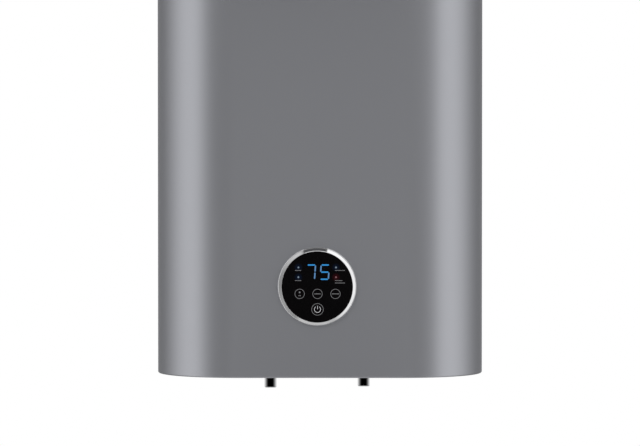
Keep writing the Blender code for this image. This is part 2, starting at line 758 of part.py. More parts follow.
def build_flange_gasket(name, tank):
    outer = COLLAR_BORE_RADIUS - GAP
    inner = outer - GASKET_WALL
    lip = COLLAR_BORE_RADIUS + GASKET_LIP
    face = COLLAR_LEVEL - GAP
    profile = (
        (inner, face - GASKET_THICKNESS),
        (lip, face - GASKET_THICKNESS),
        (lip, face),
        (outer, face),
        (outer, face + GASKET_SPIGOT),
        (inner, face + GASKET_SPIGOT),
    )
    piece(name + "_flange_gasket", turned(profile, FLANGE_SEGMENTS, ring=True), RUBBER, tank)


def build_element(name, tank):
    """A hairpin heating element: up one leg, round the top and down the other."""
    offset = ELEMENT_LEG_OFFSET
    sleeve = PLATE_BOTTOM - TERMINAL_SLEEVE
    tip = sleeve - TERMINAL_LENGTH
    crown = PLATE_TOP + ELEMENT_LENGTH - offset
    turn = arc((0.0, crown), offset, math.pi, 0.0, 2 * BEND_STEPS)
    path = [(-offset, tip), (-offset, sleeve - GAP), (-offset, sleeve)] + turn
    path += [(offset, sleeve), (offset, sleeve - GAP), (offset, tip)]
    radii = [TERMINAL_RADIUS] * 2 + [ELEMENT_RADIUS] * (len(path) - 4) + [TERMINAL_RADIUS] * 2
    points = [(0.0, y, z) for y, z in path]
    piece(name + "_heating_element", swept(points, radii, PIPE_SIDES), COPPER, tank)


def build_anode(name, side, tank):
    base = PLATE_TOP + ANODE_LIFT
    head = PLATE_BOTTOM - GAP
    profile = (
        (0.0, head - ROD_HEAD_HEIGHT),
        (ROD_HEAD_RADIUS, head - ROD_HEAD_HEIGHT),
        (ROD_HEAD_RADIUS, head),
        (ANODE_STUD_RADIUS, head),
        (ANODE_STUD_RADIUS, base),
        (ANODE_RADIUS, base),
        (ANODE_RADIUS, base + ANODE_LENGTH),
        (0.0, base + ANODE_LENGTH),
    )
    place = (side * ROD_OFFSET, 0.0, 0.0)
    piece(name + "_anode", turned(profile, ROD_SEGMENTS), MAGNESIUM, tank, place)


def build_well(name, side, tank):
    """A closed tube in the water that holds the temperature sensor, open below the plate."""
    head = PLATE_BOTTOM - GAP
    top = PLATE_TOP + WELL_LENGTH
    wall = WELL_RADIUS - WELL_BORE_RADIUS
    profile = (
        (0.0, top - wall),
        (WELL_BORE_RADIUS, top - wall),
        (WELL_BORE_RADIUS, head - ROD_HEAD_HEIGHT),
        (ROD_HEAD_RADIUS, head - ROD_HEAD_HEIGHT),
        (ROD_HEAD_RADIUS, head),
        (WELL_RADIUS, head),
        (WELL_RADIUS, top),
        (0.0, top),
    )
    place = (-side * ROD_OFFSET, 0.0, 0.0)
    piece(name + "_sensor_pocket", turned(profile, ROD_SEGMENTS), COPPER, tank, place)


def build_casing(casing, control):
    """The sheet wrapper, whose lower edge is rolled inwards under the bottom cap."""
    rim = (CASING_RADIUS - RIM_RADIUS, RIM_RADIUS)
    outer_edge = arc(rim, RIM_RADIUS, 0.0, -math.pi / 2, EDGE_STEPS)
    inner_edge = arc(rim, RIM_RADIUS - CASING_SHEET, -math.pi / 2, 0.0, EDGE_STEPS)
    lip = CASING_RADIUS - RIM_RADIUS - RIM_LIP
    levels = [(CASING_RADIUS, SHELL_TOP)] + outer_edge + [(lip, 0.0), (lip, CASING_SHEET)]
    levels += inner_edge + [(CASING_INNER_RADIUS, SHELL_TOP)]
    shell = piece("casing_shell", oval_solid(levels, closed=True), SILVER_PAINT, casing)
    hole = rod(PANEL_HOLE_RADIUS, -CASING_SHEET - OVERRUN, OVERRUN, PANEL_SEGMENTS)
    cut(shell, helper("panel_hole", hole, control))
    radius = BOLT_RADIUS + GAP
    centres = bolt_centres(CASING_RADIUS)
    holes = [bolt_line(radius, BOLT_SEGMENTS, place, OVERRUN, OVERRUN) for place in centres]
    cut(shell, helper("casing_bolt_holes", join_shapes(holes), casing))


def bolt_centres(y):
    return [(side * HALF_FLAT, y, level) for level in BOLT_LEVELS for side in (-1, 1)]


def bolt_line(radius, segments, place, inwards, outwards):
    """A cylinder along Y about a point: inwards is towards the front."""
    shape = rolled(rod(radius, -outwards, inwards, segments), math.pi / 2, "X")
    return moved(shape, place)


def build_top_cap(casing):
    edge = TOP_CAP_EDGE_RADIUS
    seat = SHELL_TOP + GAP
    outer_corner = (CASING_RADIUS - edge, CASING_HEIGHT - edge)
    outer = arc(outer_corner, edge, 0.0, math.pi / 2, EDGE_STEPS)
    inner = arc(outer_corner, edge - TOP_CAP_WALL, math.pi / 2, 0.0, EDGE_STEPS)
    spigot = CASING_INNER_RADIUS - GAP
    bottom = SHELL_TOP - TOP_CAP_SPIGOT
    levels = inner + [(spigot - TOP_CAP_WALL, seat), (spigot - TOP_CAP_WALL, bottom), (spigot, bottom)]
    levels += [(spigot, seat), (CASING_RADIUS, seat)] + outer
    piece("top_cap", oval_solid(levels), SILVER_PAINT, casing)


def build_bottom_cap(casing, ways):
    """An upturned tray that rests on the casing's lip, with one long opening for the flanges."""
    seat = CASING_SHEET + GAP
    outer = CASING_INNER_RADIUS - GAP
    inside = CAP_SKIRT_RADIUS - CAP_SHEET
    levels = [
        (OPENING_RADIUS, CAP_TOP),
        (outer, CAP_TOP),
        (outer, CAP_LEVEL),
        (CAP_SKIRT_RADIUS, CAP_LEVEL),
        (CAP_SKIRT_RADIUS, seat),
        (inside, seat),
        (inside, CAP_LEVEL),
        (OPENING_RADIUS, CAP_LEVEL),
    ]
    cap = piece("bottom_cap", oval_solid(levels, closed=True), GREY_PLASTIC, casing)
    cut(cap, *ways)
    return cap


def cover_screw_places(level):
    reach = DISH_RADIUS + COVER_FLANGE / 2
    half = COVER_SCREW_SPACING / 2
    return [(x, y, level) for x in (-half, half) for y in (-reach, reach)]


def build_cover(service):
    """A shallow dish over the service opening. It hangs on four screws and drops off downwards."""
    seat = CAP_LEVEL - GAP
    flange = seat - COVER_SHEET
    floor = CAP_LEVEL - COVER_DEPTH
    edge = COVER_EDGE_RADIUS
    corner = (DISH_RADIUS - edge, floor + edge)
    outer_edge = arc(corner, edge, 0.0, -math.pi / 2, EDGE_STEPS)
    inner_edge = arc(corner, edge - COVER_SHEET, -math.pi / 2, 0.0, EDGE_STEPS)
    levels = outer_edge[::-1]
    levels += [(DISH_RADIUS, flange), (COVER_RADIUS, flange), (COVER_RADIUS, seat)]
    levels += [(DISH_RADIUS - COVER_SHEET, seat)] + inner_edge[::-1]
    cover = piece("service_cover", oval_solid(levels), GREY_PLASTIC, service)
    holes = []
    inner = PIPE_RADIUS + RING_CLEARANCE
    collar = inner + RING_WALL
    for x in (HOT_PIPE_X, COLD_PIPE_X):
        hole = rod(collar + GAP, floor - OVERRUN, flange, PORT_SEGMENTS)
        holes.append(moved(hole, (x, 0.0, 0.0)))
    for place in cover_screw_places(flange):
        holes.append(moved(rod(SCREW_RADIUS + GAP, -OVERRUN, OVERRUN, SCREW_SEGMENTS), place))
    cut(cover, helper("cover_holes", join_shapes(holes), service))
    screw = (
        (0.0, -SCREW_HEAD_HEIGHT),
        (SCREW_HEAD_RADIUS, -SCREW_HEAD_HEIGHT),
        (SCREW_HEAD_RADIUS, 0.0),
        (SCREW_RADIUS, 0.0),
        (SCREW_RADIUS, SCREW_LENGTH),
        (0.0, SCREW_LENGTH),
    )
    for index, place in enumerate(cover_screw_places(flange - GAP)):
        piece(f"cover_screw_{index + 1}", turned(screw, SCREW_SEGMENTS), ZINC, service, place)
    under = floor - GAP
    profile = (
        (inner, under - RING_THICKNESS),
        (collar + RING_FLANGE, under - RING_THICKNESS),
        (collar + RING_FLANGE, under),
        (collar, under),
        (collar, floor + COVER_SHEET + GAP),
        (inner, floor + COVER_SHEET + GAP),
    )
    for name, x, look in (
        ("hot_ring", HOT_PIPE_X, RED_PLASTIC),
        ("cold_ring", COLD_PIPE_X, BLUE_PLASTIC),
    ):
        piece(name, turned(profile, PORT_SEGMENTS, ring=True), look, service, (x, 0.0, 0.0))


def gland_place():
    """Half way between the service cover's edge and the bottom cap's skirt, behind the cover."""
    return (GLAND_X, (COVER_RADIUS + CAP_SKIRT_RADIUS - CAP_SHEET) / 2, 0.0)


def build_gland(casing):
    hex_radius = GLAND_FLATS / math.sqrt(3)
    under = CAP_LEVEL - GAP
    nose = under - GLAND_HEX_HEIGHT - GLAND_NOSE_HEIGHT
    profile = (
        (GLAND_BORE_RADIUS, nose),
        (GLAND_BODY_RADIUS, nose),
        (hex_radius, under - GLAND_HEX_HEIGHT),
        (hex_radius, under),
        (GLAND_BODY_RADIUS, under),
        (GLAND_BODY_RADIUS, under + GLAND_THREAD_LENGTH),
        (GLAND_BORE_RADIUS, under + GLAND_THREAD_LENGTH),
    )
    shape = turned(profile, ROD_SEGMENTS, ring=True)
    piece("cable_gland", shape, DARK_PLASTIC, casing, gland_place())
    base = CAP_TOP + GAP
    nut = (
        (GLAND_BODY_RADIUS + GAP, base),
        (hex_radius, base),
        (hex_radius, base + GLAND_NUT_HEIGHT),
        (GLAND_BODY_RADIUS + GAP, base + GLAND_NUT_HEIGHT),
    )
    piece("gland_nut", turned(nut, ROD_SEGMENTS, ring=True), DARK_PLASTIC, casing, gland_place())


def cap_ways(casing):
    """Holes in the bottom cap for the gland and for the cover's screws."""
    low, high = CAP_LEVEL - OVERRUN, CAP_TOP + OVERRUN
    hole = rod(GLAND_BODY_RADIUS + GAP, low, high, ROD_SEGMENTS)
    gland = helper("gland_hole", hole, casing, gland_place())
    holes = [
        moved(rod(SCREW_RADIUS + GAP, low, high, SCREW_SEGMENTS), place)
        for place in cover_screw_places(0.0)
    ]
    return gland, helper("cap_screw_holes", join_shapes(holes), casing)


def build_foam(casing, control, ways):
    """The foam that fills the casing round both tanks."""
    radius = CASING_INNER_RADIUS - GAP
    shape = oval_solid([(radius, FOAM_BOTTOM), (radius, FOAM_TOP)])
    foam = piece("insulation_foam", shape, FOAM, casing)
    for side in (-1, 1):
        profile = [(0.0, COLLAR_LEVEL - GAP)] + tank_outside(GAP)
        cavity = turned(profile, TANK_SEGMENTS)
        cut(foam, helper(f"tank_cavity_{side}", cavity, casing, (side * HALF_FLAT, 0.0, 0.0)))
    pocket = rod(PANEL_HOLE_RADIUS, -HOUSING_DEPTH - HOLE_CLEARANCE, OVERRUN, PANEL_SEGMENTS)
    cut(foam, helper("panel_pocket", pocket, control))
    channel = cable_line(CABLE_PORT_RADIUS + HOLE_CLEARANCE, FOAM_BOTTOM - OVERRUN, CONTROL_HEIGHT)
    cut(foam, helper("cable_channel", channel, casing))
    depth = INSULATION + OVERRUN
    bosses = [
        bolt_line(BOSS_RADIUS + GAP, ROD_SEGMENTS, place, depth, 0.0)
        for place in bolt_centres(CASING_RADIUS)
    ]
    cut(foam, helper("boss_pockets", join_shapes(bosses), casing))
    cut(foam, *ways)


def cable_line_y():
    """The display cable runs down midway between the board's shelf and the housing's floor."""
    return -CASING_RADIUS + (HOUSING_DEPTH - HOUSING_FLOOR - SHELF_FACE + BOARD_SHELF_THICKNESS) / 2


def cable_line(radius, bottom, top):
    """An upright round way down from the control housing, along the display cable."""
    return moved(rod(radius, bottom, top, ROD_SEGMENTS), (-SERVICE_SHIFT, cable_line_y(), 0.0))


def build_bracket(name, level, casing):
    """A cranked strip: its feet are bolted to the casing and its middle lies on the wall."""
    foot_end = HALF_FLAT + BRACKET_FOOT_REACH
    crank = HALF_FLAT - BRACKET_JOGGLE_INSET
    span = crank - BRACKET_JOGGLE
    half = [(foot_end, FOOT_BACK_Y), (crank, FOOT_BACK_Y), (span, WALL_Y)]
    path = half + [(-x, y) for x, y in half[::-1]]
    strip = bent_strip(path, BRACKET_HEIGHT, BRACKET_SHEET)
    bracket = piece(name, strip, ZINC, casing, (0.0, 0.0, level))
    tools = []
    for side in (-1, 1):
        centre = (side * SLOT_SPACING / 2, WALL_Y, level)
        tools.append(box((SLOT_WIDTH, BRACKET_STANDOFF, SLOT_HEIGHT), centre))
        centre = (side * HALF_FLAT, FOOT_BACK_Y, level)
        tools.append(bolt_line(BOLT_RADIUS + GAP, BOLT_SEGMENTS, centre, OVERRUN, OVERRUN))
    cut(bracket, helper(name + "_holes", join_shapes(tools), casing))


def build_mounting(casing):
    build_bracket("upper_bracket", UPPER_BRACKET_LEVEL, casing)
    build_bracket("lower_bracket", LOWER_BRACKET_RISE, casing)
    head = FOOT_BACK_Y + GAP
    for index, (x, _, level) in enumerate(bolt_centres(0.0)):
        bolt = hex_bolt(BOLT_HEAD_FLATS, BOLT_HEAD_HEIGHT, BOLT_RADIUS, head - bolt_tip())
        bolt = rolled(bolt, -math.pi / 2, "X")
        piece(f"bracket_bolt_{index + 1}", bolt, ZINC, casing, (x, head, level))


def build_control_shell(control, casing):
    """The cup behind the glass, its seal on the casing, the glass and the ring round it."""
    inner = HOUSING_INNER_RADIUS
    shelf = inner - BOARD_SHELF_WIDTH
    shelf_back = SHELF_FACE - BOARD_SHELF_THICKNESS
    profile = (
        (0.0, -HOUSING_DEPTH),
        (HOUSING_RADIUS, -HOUSING_DEPTH),
        (HOUSING_RADIUS, FLANGE_BASE),
        (HOUSING_FLANGE_RADIUS, FLANGE_BASE),
        (HOUSING_FLANGE_RADIUS, FLANGE_BASE + HOUSING_FLANGE),
        (inner, FLANGE_BASE + HOUSING_FLANGE),
        (inner, SHELF_FACE),
        (shelf, SHELF_FACE),
        (shelf, shelf_back),
        (inner, shelf_back),
        (inner, -HOUSING_DEPTH + HOUSING_FLOOR),
        (0.0, -HOUSING_DEPTH + HOUSING_FLOOR),
    )
    housing = piece("control_housing", turned(profile, PANEL_SEGMENTS), DARK_PLASTIC, control)
    port_bottom = CONTROL_HEIGHT - HOUSING_RADIUS - OVERRUN
    port = cable_line(CABLE_PORT_RADIUS, port_bottom, CONTROL_HEIGHT - shelf)
    cut(housing, helper("cable_port", port, casing))
    low, high = shelf_back - OVERRUN, SHELF_FACE + OVERRUN
    holes = [
        moved(rod(BOARD_SCREW_RADIUS + GAP, low, high, SCREW_SEGMENTS), place)
        for place in board_screw_places(0.0)
    ]
    cut(housing, helper("shelf_holes", join_shapes(holes), control))
    seal = (
        (PANEL_HOLE_RADIUS, GAP),
        (HOUSING_FLANGE_RADIUS, GAP),
        (HOUSING_FLANGE_RADIUS, GAP + HOUSING_GASKET),
        (PANEL_HOLE_RADIUS, GAP + HOUSING_GASKET),
    )
    piece("housing_gasket", turned(seal, PANEL_SEGMENTS, ring=True), RUBBER, control)
    glass = rod(GLASS_RADIUS, GLASS_BASE, GLASS_FACE, PANEL_SEGMENTS)
    build_marks(control, piece("control_glass", glass, BLACK_GLASS, control))
    crown = GLASS_FACE + BEZEL_CROWN
    edge = BEZEL_EDGE_RADIUS
    skirt = BEZEL_RADIUS - BEZEL_SKIRT
    mouth = GLASS_RADIUS + GAP
    ring = [(mouth, GLASS_BASE), (mouth, GLASS_FACE)]
    ring += arc((BEZEL_RADIUS - edge, crown - edge), edge, math.pi / 2, 0.0, EDGE_STEPS)
    ring += [(BEZEL_RADIUS, GAP), (skirt, GAP), (skirt, GLASS_BASE)]
    piece("control_bezel", turned(ring, PANEL_SEGMENTS, ring=True), CHROME, control)


def board_screw_places(level):
    radius = HOUSING_INNER_RADIUS - BOARD_SHELF_WIDTH / 2
    turns = [math.pi / 2 + math.tau * index / BOARD_SCREW_COUNT for index in range(BOARD_SCREW_COUNT)]
    return [(radius * math.cos(turn), radius * math.sin(turn), level) for turn in turns]


def key_places(height):
    """The centres of the three touch keys and of the power key on the glass."""
    shares = KEY_PLACE_SHARES + (POWER_KEY_PLACE_SHARE,)
    return [(GLASS_RADIUS * across, GLASS_RADIUS * up, height) for across, up in shares]


def build_display(control):
    """The board behind the glass, with the digits. Its lamps, key springs and screws are on it."""
    radius = HOUSING_INNER_RADIUS - GAP
    shape = rod(radius, BOARD_BASE, BOARD_FACE, PANEL_SEGMENTS)
    board = piece("display_board", shape, BOARD_GREEN, control)
    middle = BOARD_BASE + BOARD_THICKNESS / 2
    screw = (
        (0.0, BOARD_BASE - BOARD_SCREW_GRIP),
        (BOARD_SCREW_RADIUS, BOARD_BASE - BOARD_SCREW_GRIP),
        (BOARD_SCREW_RADIUS, middle),
        (BOARD_SCREW_HEAD_RADIUS, middle),
        (BOARD_SCREW_HEAD_RADIUS, BOARD_FACE + BOARD_SCREW_HEAD_HEIGHT),
        (0.0, BOARD_FACE + BOARD_SCREW_HEAD_HEIGHT),
    )
    fitted = [moved(turned(screw, SCREW_SEGMENTS), place) for place in board_screw_places(0.0)]
    height = BOARD_FACE + LED_HEIGHT - middle
    for place in lamp_places(middle + height / 2):
        fitted.append(box((LED_SIZE, LED_SIZE, height), place))
    spring = (
        (SPRING_RADIUS - SPRING_WALL, middle),
        (SPRING_RADIUS, middle),
        (SPRING_RADIUS, GLASS_BASE - GAP),
        (SPRING_RADIUS - SPRING_WALL, GLASS_BASE - GAP),
    )
    for place in key_places(0.0):
        fitted.append(moved(turned(spring, SCREW_SEGMENTS, ring=True), place))
    combine(board, helper("board_parts", join_shapes(fitted), control), "UNION")
    width = DIGIT_PITCH + DIGIT_WIDTH + 2 * MODULE_BORDER
    height = DIGIT_HEIGHT + 2 * MODULE_BORDER
    depth = MODULE_DEPTH - GAP
    centre = (DISPLAY_X, DISPLAY_Y, BOARD_FACE + GAP + depth / 2)
    piece("digit_module", box((width, height, depth), centre), DARK_PLASTIC, control)


def lamp_places(level):
    """Two indicator lamps on each side of the digits."""
    heights = (DISPLAY_Y + LED_PITCH / 2, DISPLAY_Y - LED_PITCH / 2)
    return [(x, y, level) for x in (-LED_X, LED_X) for y in heights]


def digit_bar(start, end):
    """One lit bar of a digit: a flat stroke with pointed ends, a little short of its corners."""
    first, last = Vector(start), Vector(end)
    along = (last - first).normalized()
    across = Vector((-along.y, along.x)) * DIGIT_STROKE / 2
    shoulder = along * DIGIT_STROKE / 2
    first, last = first + along * DIGIT_SPLIT, last - along * DIGIT_SPLIT
    outline = (
        first,
        first + shoulder - across,
        last - shoulder - across,
        last,
        last - shoulder + across,
        first + shoulder + across,
    )
    return [(point.x + math.tan(DIGIT_SLANT) * point.y, point.y) for point in outline]


def digit_bars(digit):
    """The outlines of a seven-bar digit about its centre."""
    half_width = (DIGIT_WIDTH - DIGIT_STROKE) / 2
    half_height = (DIGIT_HEIGHT - DIGIT_STROKE) / 2
    corners = {
        "top": ((-half_width, half_height), (half_width, half_height)),
        "middle": ((-half_width, 0.0), (half_width, 0.0)),
        "bottom": ((-half_width, -half_height), (half_width, -half_height)),
        "upper_left": ((-half_width, 0.0), (-half_width, half_height)),
        "upper_right": ((half_width, 0.0), (half_width, half_height)),
        "lower_right": ((half_width, -half_height), (half_width, 0.0)),
    }
    lit = {
        7: ("top", "upper_right", "lower_right"),
        5: ("top", "upper_left", "middle", "lower_right", "bottom"),
    }
    return [digit_bar(*corners[bar]) for bar in lit[digit]]


def build_marks(control, glass):
    """What shows on the glass, as a thin relief: the lit digits, lamp windows and key rings."""
    base = GLASS_FACE - GLASS_THICKNESS / 2
    top = GLASS_FACE + MARK_THICKNESS
    marks = []
    for digit, side in ((7, -1), (5, 1)):
        offset = Vector((DISPLAY_X + side * DIGIT_PITCH / 2, DISPLAY_Y))
        for outline in digit_bars(digit):
            marks.append(prism([(x + offset.x, y + offset.y) for x, y in outline], base, top))
    for place in lamp_places(0.0):
        marks.append(moved(rod(WINDOW_RADIUS, base, top, SCREW_SEGMENTS), place))
    radii = [KEY_RADIUS] * len(KEY_PLACE_SHARES) + [POWER_KEY_RADIUS]
    for radius, place in zip(radii, key_places(0.0)):
        profile = ((radius - KEY_STROKE, base), (radius, base), (radius, top), (radius - KEY_STROKE, top))
        marks.append(moved(turned(profile, MARK_SEGMENTS, ring=True), place))
    marks.append(moved(power_arc(base, top), key_places(0.0)[-1]))
    bar_centre = (0.0, POWER_SIGN_RADIUS / 2 + POWER_SIGN_STROKE / 2, (base + top) / 2)
    bar = box((POWER_SIGN_STROKE, POWER_SIGN_RADIUS, top - base), bar_centre)
    marks.append(moved(bar, key_places(0.0)[-1]))
    combine(glass, helper("glass_marks", join_shapes(marks), control), "UNION")


def power_arc(base, top):
    """The open circle of the power sign, its gap at the top."""
    steps = MARK_SEGMENTS * 3 // 4
    start = math.pi / 2 + POWER_SIGN_OPENING / 2
    end = math.pi / 2 - POWER_SIGN_OPENING / 2 + math.tau
    outer = arc((0.0, 0.0), POWER_SIGN_RADIUS, start, end, steps)
    inner = arc((0.0, 0.0), POWER_SIGN_RADIUS - POWER_SIGN_STROKE, end, start, steps)
    return prism(outer + inner, base, top)


def build_bridge(casing):
    """A bent strip over the service opening that carries the electrics on its underside."""
    foot = CAP_TOP + GAP
    half = [
        (-BRIDGE_LEG_Y - BRIDGE_FOOT, foot + BRIDGE_SHEET),
        (-BRIDGE_LEG_Y, foot + BRIDGE_SHEET),
        (-BRIDGE_LEG_Y, BRIDGE_TOP),
    ]
    path = half + [(-y, z) for y, z in half[::-1]]
    strip = bent_strip([(y, z) for y, z in path[::-1]], BRIDGE_WIDTH, BRIDGE_SHEET)
    for axis in ("Y", "X"):
        strip = rolled(strip, math.pi / 2, axis)
    bridge = piece("electrics_bridge", strip, ZINC, casing, (-SERVICE_SHIFT, 0.0, 0.0))
    window = box(
        (BRIDGE_WINDOW_WIDTH, 2 * OVERRUN, BRIDGE_WINDOW_HEIGHT),
        (-SERVICE_SHIFT, -BRIDGE_LEG_Y, foot + BRIDGE_HEIGHT / 2),
    )
    cut(bridge, helper("bridge_window", window, casing))


def spacer_places(level):
    x = POWER_BOARD_LENGTH / 2 - SPACER_INSET
    y = POWER_BOARD_HALF_WIDTH - SPACER_INSET
    return [(POWER_BOARD_X + i * x, j * y, level) for i in (-1, 1) for j in (-1, 1)]


def build_power_board(casing):
    """The board under the bridge. Its four spacers, with their screw heads, are on it."""
    size = (POWER_BOARD_LENGTH - BRIDGE_MARGIN, 2 * POWER_BOARD_HALF_WIDTH, BOARD_THICKNESS)
    centre = (POWER_BOARD_X, 0.0, POWER_BOARD_UNDER + BOARD_THICKNESS / 2)
    board = piece("power_board", box(size, centre), BOARD_GREEN, casing)
    low, high = POWER_BOARD_UNDER - BOARD_SCREW_HEAD_HEIGHT, BRIDGE_UNDER - GAP
    spacers = [moved(rod(SPACER_RADIUS, low, high, HEX_SIDES), place) for place in spacer_places(0.0)]
    combine(board, helper("board_spacers", join_shapes(spacers), casing), "UNION")
    relay_x = BRIDGE_LEFT + RELAY_EDGE_GAP + RELAY_SIZE[0] / 2
    for name, side in (("front_relay", -1), ("rear_relay", 1)):
        relay = hung_box(RELAY_SIZE, relay_x, side * RELAY_SPACING / 2, POWER_BOARD_UNDER)
        piece(name, relay, BLUE_PLASTIC, casing)
    transformer_x = relay_x + RELAY_SIZE[0] / 2 + RELAY_EDGE_GAP + TRANSFORMER_SIZE[0] / 2
    transformer = hung_box(TRANSFORMER_SIZE, transformer_x, 0.0, POWER_BOARD_UNDER)
    piece("transformer", transformer, DARK_PLASTIC, casing)


def hung_box(size, x, y, ceiling):
    """A box that hangs a fit's gap under a flat face."""
    return box(size, (x, y, ceiling - GAP - size[2] / 2))


def build_devices(casing):
    """The terminal block and the safety cut-out under the bridge's right side."""
    block = hung_box(TERMINAL_BLOCK_SIZE, DEVICE_X, -DEVICE_SPREAD, BRIDGE_UNDER)
    block = piece("terminal_block", block, WHITE_PLASTIC, casing)
    under = BRIDGE_UNDER - GAP - TERMINAL_BLOCK_SIZE[2]
    pitch = TERMINAL_BLOCK_SIZE[1] / TERMINAL_POLES
    screws = []
    for pole in range(TERMINAL_POLES):
        y = -DEVICE_SPREAD + pitch * (pole - (TERMINAL_POLES - 1) / 2)
        well = rod(TERMINAL_SCREW_RADIUS, under - OVERRUN, under + TERMINAL_SCREW_DEPTH, SCREW_SEGMENTS)
        screws.append(moved(well, (DEVICE_X, y, 0.0)))
    cut(block, helper("terminal_screw_wells", join_shapes(screws), casing))
    top = BRIDGE_UNDER - GAP
    shoulder = top - CUTOUT_HEIGHT
    mouth = shoulder - CUTOUT_NECK_HEIGHT
    bore = BUTTON_RADIUS + BUTTON_CLEARANCE
    bore_top = mouth - BUTTON_PROUD + BUTTON_LENGTH + GAP
    profile = (
        (0.0, bore_top),
        (bore, bore_top),
        (bore, mouth),
        (CUTOUT_NECK_RADIUS, mouth),
        (CUTOUT_NECK_RADIUS, shoulder),
        (CUTOUT_RADIUS, shoulder),
        (CUTOUT_RADIUS, top),
        (0.0, top),
    )
    place = (DEVICE_X, DEVICE_SPREAD, 0.0)
    piece("thermal_cutout", turned(profile, PORT_SEGMENTS), DARK_PLASTIC, casing, place)
    button_frame = frame("reset_button_axis", (DEVICE_X, DEVICE_SPREAD, mouth), parent=casing)
    button = rod(BUTTON_RADIUS, -BUTTON_PROUD, BUTTON_LENGTH - BUTTON_PROUD, ROD_SEGMENTS)
    piece("reset_button", button, RED_PLASTIC, button_frame)


def build_wires(casing):
    """The leads inside the service space. They pass beside the water pipes."""
    tip = PLATE_BOTTOM - TERMINAL_SLEEVE - TERMINAL_LENGTH - GAP
    level = tip - WIRE_DROP
    relay_level = POWER_BOARD_UNDER - RELAY_SIZE[2] / 2
    relay_face = BRIDGE_LEFT + RELAY_EDGE_GAP - GAP
    block_level = BRIDGE_UNDER - TERMINAL_BLOCK_SIZE[2] / 2
    block_face = DEVICE_X + TERMINAL_BLOCK_SIZE[0] / 2 + GAP
    cutout_face = DEVICE_X + CUTOUT_RADIUS + GAP
    beside = PIPE_RADIUS + RING_FLANGE + POWER_WIRE_RADIUS
    for name, tank, side, pipe_x, face, end_y, end_level in (
        ("hot_lead_front", -1, -1, HOT_PIPE_X, relay_face, RELAY_SPACING / 2, relay_level),
        ("hot_lead_rear", -1, 1, HOT_PIPE_X, relay_face, RELAY_SPACING / 2, relay_level),
        ("cold_lead_front", 1, -1, COLD_PIPE_X, block_face, DEVICE_SPREAD, block_level),
        ("cold_lead_rear", 1, 1, COLD_PIPE_X, cutout_face, DEVICE_SPREAD, block_level),
    ):
        inwards = -tank
        route = (
            (tank * HALF_FLAT, side * ELEMENT_LEG_OFFSET, tip),
            (tank * HALF_FLAT, side * ELEMENT_LEG_OFFSET, tip - WIRE_DROP / 2),
            (tank * HALF_FLAT + inwards * WIRE_DROP, side * ELEMENT_LEG_OFFSET, level),
            (pipe_x, side * beside, (level + end_level) / 2),
            (face - inwards * WIRE_DROP, side * end_y, end_level),
            (face, side * end_y, end_level),
        )
        wire(name, route, POWER_WIRE_RADIUS, BROWN_WIRE, casing)
    build_thin_wires(casing)


def build_thin_wires(casing):
    """The sensor and earth leads of each tank, and the display's cable."""
    under = POWER_BOARD_UNDER - GAP
    low = BRIDGE_UNDER - BRIDGE_HEIGHT / 2
    beside = PIPE_RADIUS + WIRE_CLEARANCE
    pocket = PLATE_BOTTOM - GAP - ROD_HEAD_HEIGHT / 2
    board_edges = {-1: BRIDGE_LEFT + BRIDGE_MARGIN, 1: POWER_BOARD_RIGHT - BRIDGE_MARGIN}
    for name, tank, pipe_x in (("hot", -1, HOT_PIPE_X), ("cold", 1, COLD_PIPE_X)):
        pocket_x = tank * (HALF_FLAT - ROD_OFFSET)
        y = -tank * beside
        end = board_edges[tank]
        route = (
            (pocket_x, 0.0, pocket),
            (pocket_x, 0.0, pocket - WIRE_DROP),
            ((pocket_x + pipe_x) / 2, y / 2, (pocket + low) / 2 - WIRE_DROP),
            (pipe_x, y, low),
            (end + tank * WIRE_DROP, y, low),
            (end, y, under - WIRE_DROP / 2),
            (end, y, under),
        )
        wire(name + "_sensor_lead", route, THIN_WIRE_RADIUS, GREY_WIRE, casing)
    earth_y = -(COLLAR_RADIUS - WIRE_DROP)
    block_level = BRIDGE_UNDER - TERMINAL_BLOCK_SIZE[2] * 2 / 3
    block_half = TERMINAL_BLOCK_SIZE[0] / 2 + GAP
    end_y = -DEVICE_SPREAD - TERMINAL_BLOCK_SIZE[1] / TERMINAL_POLES
    for name, tank, pipe_x in (("hot", -1, HOT_PIPE_X), ("cold", 1, COLD_PIPE_X)):
        end = DEVICE_X + tank * block_half
        route = (
            (tank * HALF_FLAT, earth_y, PLATE_BOTTOM - GAP),
            (tank * HALF_FLAT, earth_y, PLATE_BOTTOM - WIRE_DROP),
            (pipe_x, (earth_y + end_y) / 2, block_level - WIRE_DROP / 2),
            (end + tank * WIRE_DROP, end_y, block_level),
            (end, end_y, block_level),
        )
        wire(name + "_earth_lead", route, THIN_WIRE_RADIUS, EARTH_WIRE, casing)
    board_back = -CASING_RADIUS - BOARD_BASE + GAP
    channel_y = cable_line_y()
    channel_end = min(FOAM_BOTTOM, CONTROL_HEIGHT - HOUSING_RADIUS) - WIRE_DROP
    leg_y = -BRIDGE_LEG_Y
    end_y = -POWER_BOARD_HALF_WIDTH + WIRE_DROP
    route = (
        (-SERVICE_SHIFT, board_back, CONTROL_HEIGHT - HOUSING_INNER_RADIUS / 2),
        (-SERVICE_SHIFT, board_back + HARNESS_RADIUS, CONTROL_HEIGHT - HOUSING_INNER_RADIUS / 2),
        (-SERVICE_SHIFT, channel_y, CONTROL_HEIGHT - HOUSING_INNER_RADIUS),
        (-SERVICE_SHIFT, channel_y, channel_end),
        (-SERVICE_SHIFT, (channel_y + leg_y) / 2, BRIDGE_UNDER),
        (-SERVICE_SHIFT, leg_y, low),
        (-SERVICE_SHIFT, end_y, (low + under) / 2),
        (-SERVICE_SHIFT, end_y, under),
    )
    wire("display_cable", route, HARNESS_RADIUS, GREY_WIRE, casing)


